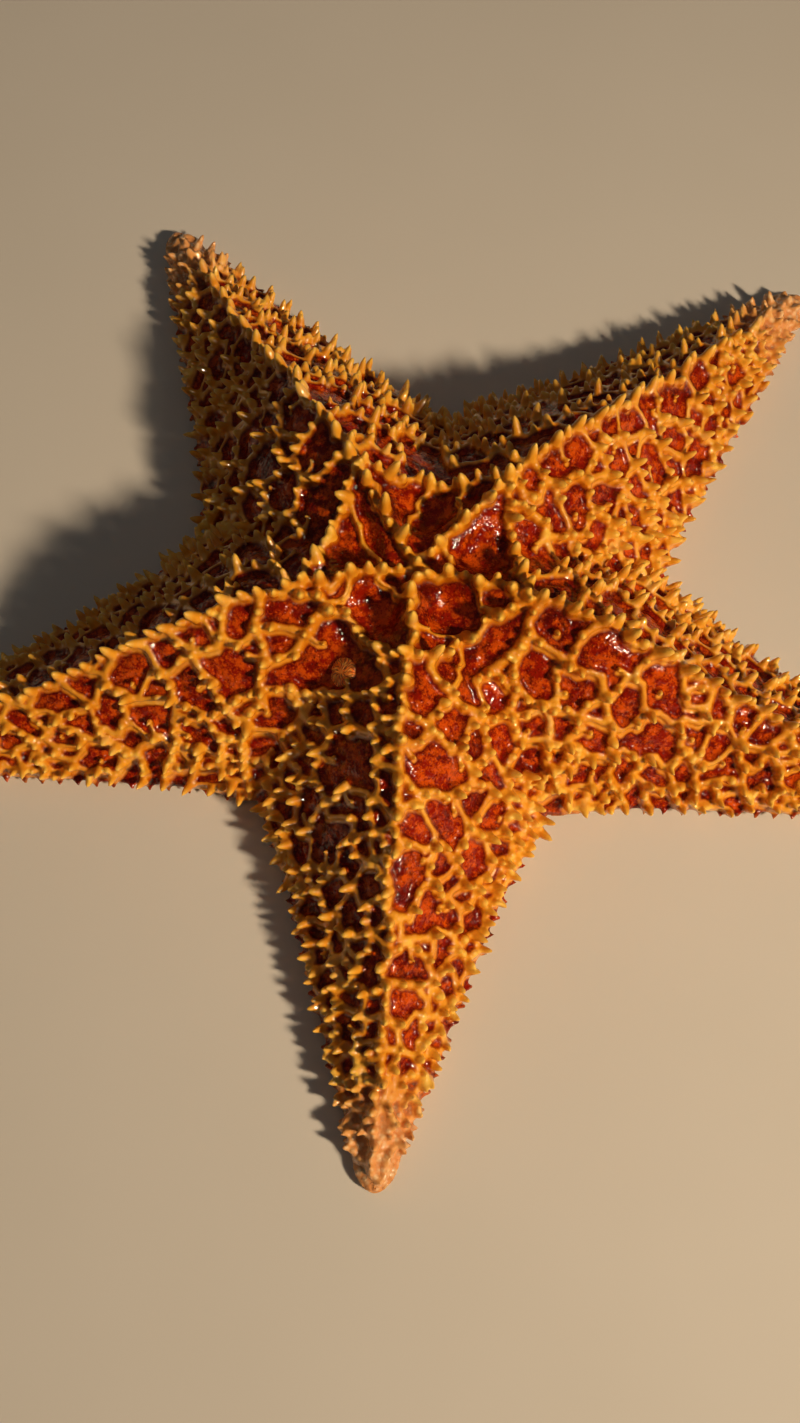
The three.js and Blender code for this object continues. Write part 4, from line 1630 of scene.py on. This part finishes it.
feet_shape = Shape()
feet = 0
for arm in arms:
    for side in (1, -1):
        s = FOOT_RANGE[0] * arm.length
        while s < FOOT_RANGE[1] * arm.length:
            u = s / arm.length
            off = FOOT_OFF_SHARE * groove_at(u)
            x, y = arm.to_plan(s + chance.normal(0, FOOT_JITTER), side * off)
            top = float(under_height(off, FOOT_UNDER_SHARE, u)) + FOOT_ROOT
            bend = chance.normal(0, FOOT_BEND, 2) * (1 - u / 2)
            add_foot(feet_shape, x, y, top, chance.uniform(*FOOT_LOWEST), bend)
            feet += 1
            s += mix(*FOOT_STEP, u)
tube_feet = feet_shape.make("tube_feet")
print("tube feet", feet)

# %% [markdown]
# ## The finish of the soft parts
#
# Mouth and feet are bare wet flesh, peach with orange clouds, and light sinks a little way into
# them. One finish serves both, with a finer grain on the feet. A plain peach would look like wax;
# the clouds and a low bump are enough to keep it alive.

# %% Finish of the soft parts
SOFT_PEACH = (236, 176, 112)
SOFT_PALE = (246, 214, 164)
SOFT_ORANGE = (204, 104, 34)
SOFT_CLOUD = 3.0
SOFT_PALE_RANGE = (0.35, 0.65)
SOFT_ORANGE_BY_GRAIN = 0.4
SOFT_ORANGE_RANGE = (0.75, 0.5)
SOFT_ORANGE_SHARE = 0.6
SOFT_ROUGHNESS = (0.35, 0.2)
SOFT_RELIEF = 0.15
SOFT_BUMP = 0.6
LIGHT_SINKS = {"Subsurface_Weight": 0.15, "Subsurface_Scale": MILLIMETRE}
MOUTH_GRAIN = 0.6
FOOT_GRAIN = 0.4


def soft_finish(name, grain):
    finish = Finish(name, Coat_Roughness=0.08, Coat_Weight=0.6, **LIGHT_SINKS)
    clouds = finish.noise(SOFT_CLOUD, detail=3.0)
    fine = finish.noise(grain)
    flesh = finish.blend(finish.step(clouds, *SOFT_PALE_RANGE), SOFT_PEACH, SOFT_PALE)
    orange = finish.step(clouds + SOFT_ORANGE_BY_GRAIN * fine, *SOFT_ORANGE_RANGE)
    finish.set(Base_Color=finish.blend(SOFT_ORANGE_SHARE * orange, flesh, SOFT_ORANGE))
    finish.set(Roughness=SOFT_ROUGHNESS[0] + SOFT_ROUGHNESS[1] * fine)
    finish.bump(fine, SOFT_RELIEF, SOFT_BUMP)
    return finish.material


paint(mouth_mesh, soft_finish("mouth skin", MOUTH_GRAIN))
paint(tube_feet.data, soft_finish("soft feet", FOOT_GRAIN))
print("soft parts painted with", mouth_mesh.materials[0].name, "and", tube_feet.data.materials[0].name)

# %% [markdown]
# ## Camera
#
# The camera looks down on the animal from in front at a steep angle, quite near, so that the arm
# towards it looks longer than the arms behind. The aim point, distance, tilt and lens belong
# together: changing one alone would shift the outline.

# %% Camera
CAMERA_TILT = 70.23
CAMERA_ROLL = -0.53
CAMERA_DISTANCE = 3.0023 * RADIUS
CAMERA_AIM = (-0.0304 * RADIUS, -0.1574 * RADIUS)
PICTURE_LONG_SIDE = 1423
FOCAL_PIXELS = 1668.3
SENSOR_WIDTH = 36.0
NEAREST_SEEN = 0.01

mouth_low, mouth_high = (Vector(corner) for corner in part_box("mouth"))
middle = (mouth_low + mouth_high) / 2
middle.z = 0.0
tilt = math.radians(CAMERA_TILT)
roll = math.radians(CAMERA_ROLL)
backward = Vector((0, -math.cos(tilt), math.sin(tilt)))
rightward = Vector((1, 0, 0))
upward = Vector((0, math.sin(tilt), math.cos(tilt)))
camera_x = rightward * math.cos(roll) + upward * math.sin(roll)
camera_y = upward * math.cos(roll) - rightward * math.sin(roll)
aim = middle + Vector((CAMERA_AIM[0], CAMERA_AIM[1], 0)) * MILLIMETRE
camera_data = bpy.data.cameras.new("camera")
camera_data.sensor_width = SENSOR_WIDTH
camera_data.lens = FOCAL_PIXELS * SENSOR_WIDTH / PICTURE_LONG_SIDE
camera_data.clip_start = NEAREST_SEEN
camera = bpy.data.objects.new("camera", camera_data)
turned = Matrix((camera_x, camera_y, backward)).transposed().to_4x4()
camera.matrix_world = Matrix.Translation(aim + backward * CAMERA_DISTANCE * MILLIMETRE) @ turned
bpy.context.scene.collection.objects.link(camera)
bpy.context.scene.camera = camera
print("middle of the star", tuple(round(part, 4) for part in middle), "lens %.1f mm" % camera_data.lens)

# %% [markdown]
# ## The floor
#
# The star lies on plain pale paper, which lets its colours speak and shows its shadow. A sheet with
# no variation at all looks unreal, so two pale tones drift into each other. It is given to the
# stage, not to the star, so that it is never taken for a part of the animal.

# %% Floor
FLOOR_SIZE = 6.0
FLOOR_PALE = (222, 217, 208)
FLOOR_PALER = (228, 223, 215)
FLOOR_CLOUD = 60.0

floor_mesh = bpy.data.meshes.new("floor")
edge = FLOOR_SIZE / 2
floor_corners = [(-edge, -edge, 0), (edge, -edge, 0), (edge, edge, 0), (-edge, edge, 0)]
floor_mesh.from_pydata(floor_corners, [], [(0, 1, 2, 3)])
floor = bpy.data.objects.new("floor", floor_mesh)
bpy.context.scene.collection.objects.link(floor)
paper = Finish("floor paper", Roughness=0.8)
paper.set(Base_Color=paper.blend(paper.noise(FLOOR_CLOUD), FLOOR_PALE, FLOOR_PALER))
floor_mesh.materials.append(paper.material)
floor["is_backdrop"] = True
print("floor", FLOOR_SIZE, "m wide")

# %% [markdown]
# ## Lights
#
# One warm lamp stands low in front on the right, small enough that every cone throws a short
# shadow and the far flanks turn dark. Two broad plain lamps and a dim room keep those flanks
# readable. Broad lamps would lay a milky sheen on wet skin, so they are left out of its
# reflections, and a small lamp that is seen only in reflections gives the glints instead. The
# default tone curve pales strong oranges and reds, so the plain one is chosen, which shows each
# colour as it was mixed.

# %% Lights
WARM_LIGHT = (255, 228, 192)
PLAIN_LIGHT = (255, 250, 244)
ROOM_STRENGTH = 0.035
LIGHT_AIM = (30.0, -35.0, 20.0)
KEY_SPREAD = 90.0
WIDE_OPEN = 180.0


def add_light(name, azimuth, elevation, distance, size, power, colour, spread=WIDE_OPEN):
    data = bpy.data.lights.new(name, "AREA")
    data.shape = "DISK"
    data.size = size
    data.energy = power
    data.spread = math.radians(spread)
    data.color = linear(colour)[:3]
    lamp = bpy.data.objects.new(name, data)
    turn, lift = math.radians(azimuth), math.radians(elevation)
    away = Vector((math.cos(turn) * math.cos(lift), math.sin(turn) * math.cos(lift), math.sin(lift)))
    aimed_at = middle + Vector(LIGHT_AIM) * MILLIMETRE
    lamp.location = aimed_at + away * distance
    lamp.rotation_euler = away.to_track_quat("Z", "Y").to_euler()
    bpy.context.scene.collection.objects.link(lamp)
    return lamp


warm = {"distance": 1.4, "colour": WARM_LIGHT}
key = add_light("key", azimuth=-38, elevation=37, size=0.14, power=4.6, spread=KEY_SPREAD, **warm)
glint = add_light("glint", azimuth=-42, elevation=42, size=0.03, power=17, **warm)
fill = add_light("fill", azimuth=140, elevation=55, distance=1.6, size=1.4, power=0.42, colour=PLAIN_LIGHT)
top = add_light("top", azimuth=60, elevation=84, distance=1.8, size=1.6, power=0.3, colour=PLAIN_LIGHT)
glint.visible_diffuse = False
for lamp in (key, fill, top):
    lamp.visible_glossy = False
world = bpy.data.worlds.new("room")
world.use_nodes = True
background = world.node_tree.nodes["Background"]
background.inputs["Color"].default_value = linear(PLAIN_LIGHT)
background.inputs["Strength"].default_value = ROOM_STRENGTH
bpy.context.scene.world = world
bpy.context.scene.view_settings.view_transform = "Standard"
print("lamps", [lamp.name for lamp in (key, glint, fill, top)])

# %% [markdown]
# ## Into place
#
# The pieces were made round the middle of the star. Now they move to where the solids have it, each
# is tied to the one body, and the solids they replace are hidden.

# %% Place the pieces, hide the solids and print the sizes
arm_names = [f"arm_{number}" for number in range(1, len(arms) + 1)]
tip_names = [f"arm_tip_{number}" for number in range(1, len(arms) + 1)]
pieces = {skin: "skin", sieve: "sieve_plate", mouth: "mouth_skin", tube_feet: "mouth_skin"}
for piece, slot in pieces.items():
    piece.data.transform(Matrix.Translation(middle))
    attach(piece, "root")
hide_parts("disc", *arm_names, *tip_names)
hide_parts("sieve_plate")
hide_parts("mouth")
print("pieces", {piece.name: len(piece.data.polygons) for piece in pieces})

visual_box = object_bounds()
boxes = {"cad": cad_box, "visual": visual_box}
boxes = {name: [[float(part) for part in corner] for corner in box] for name, box in boxes.items()}
print("sizes", boxes)
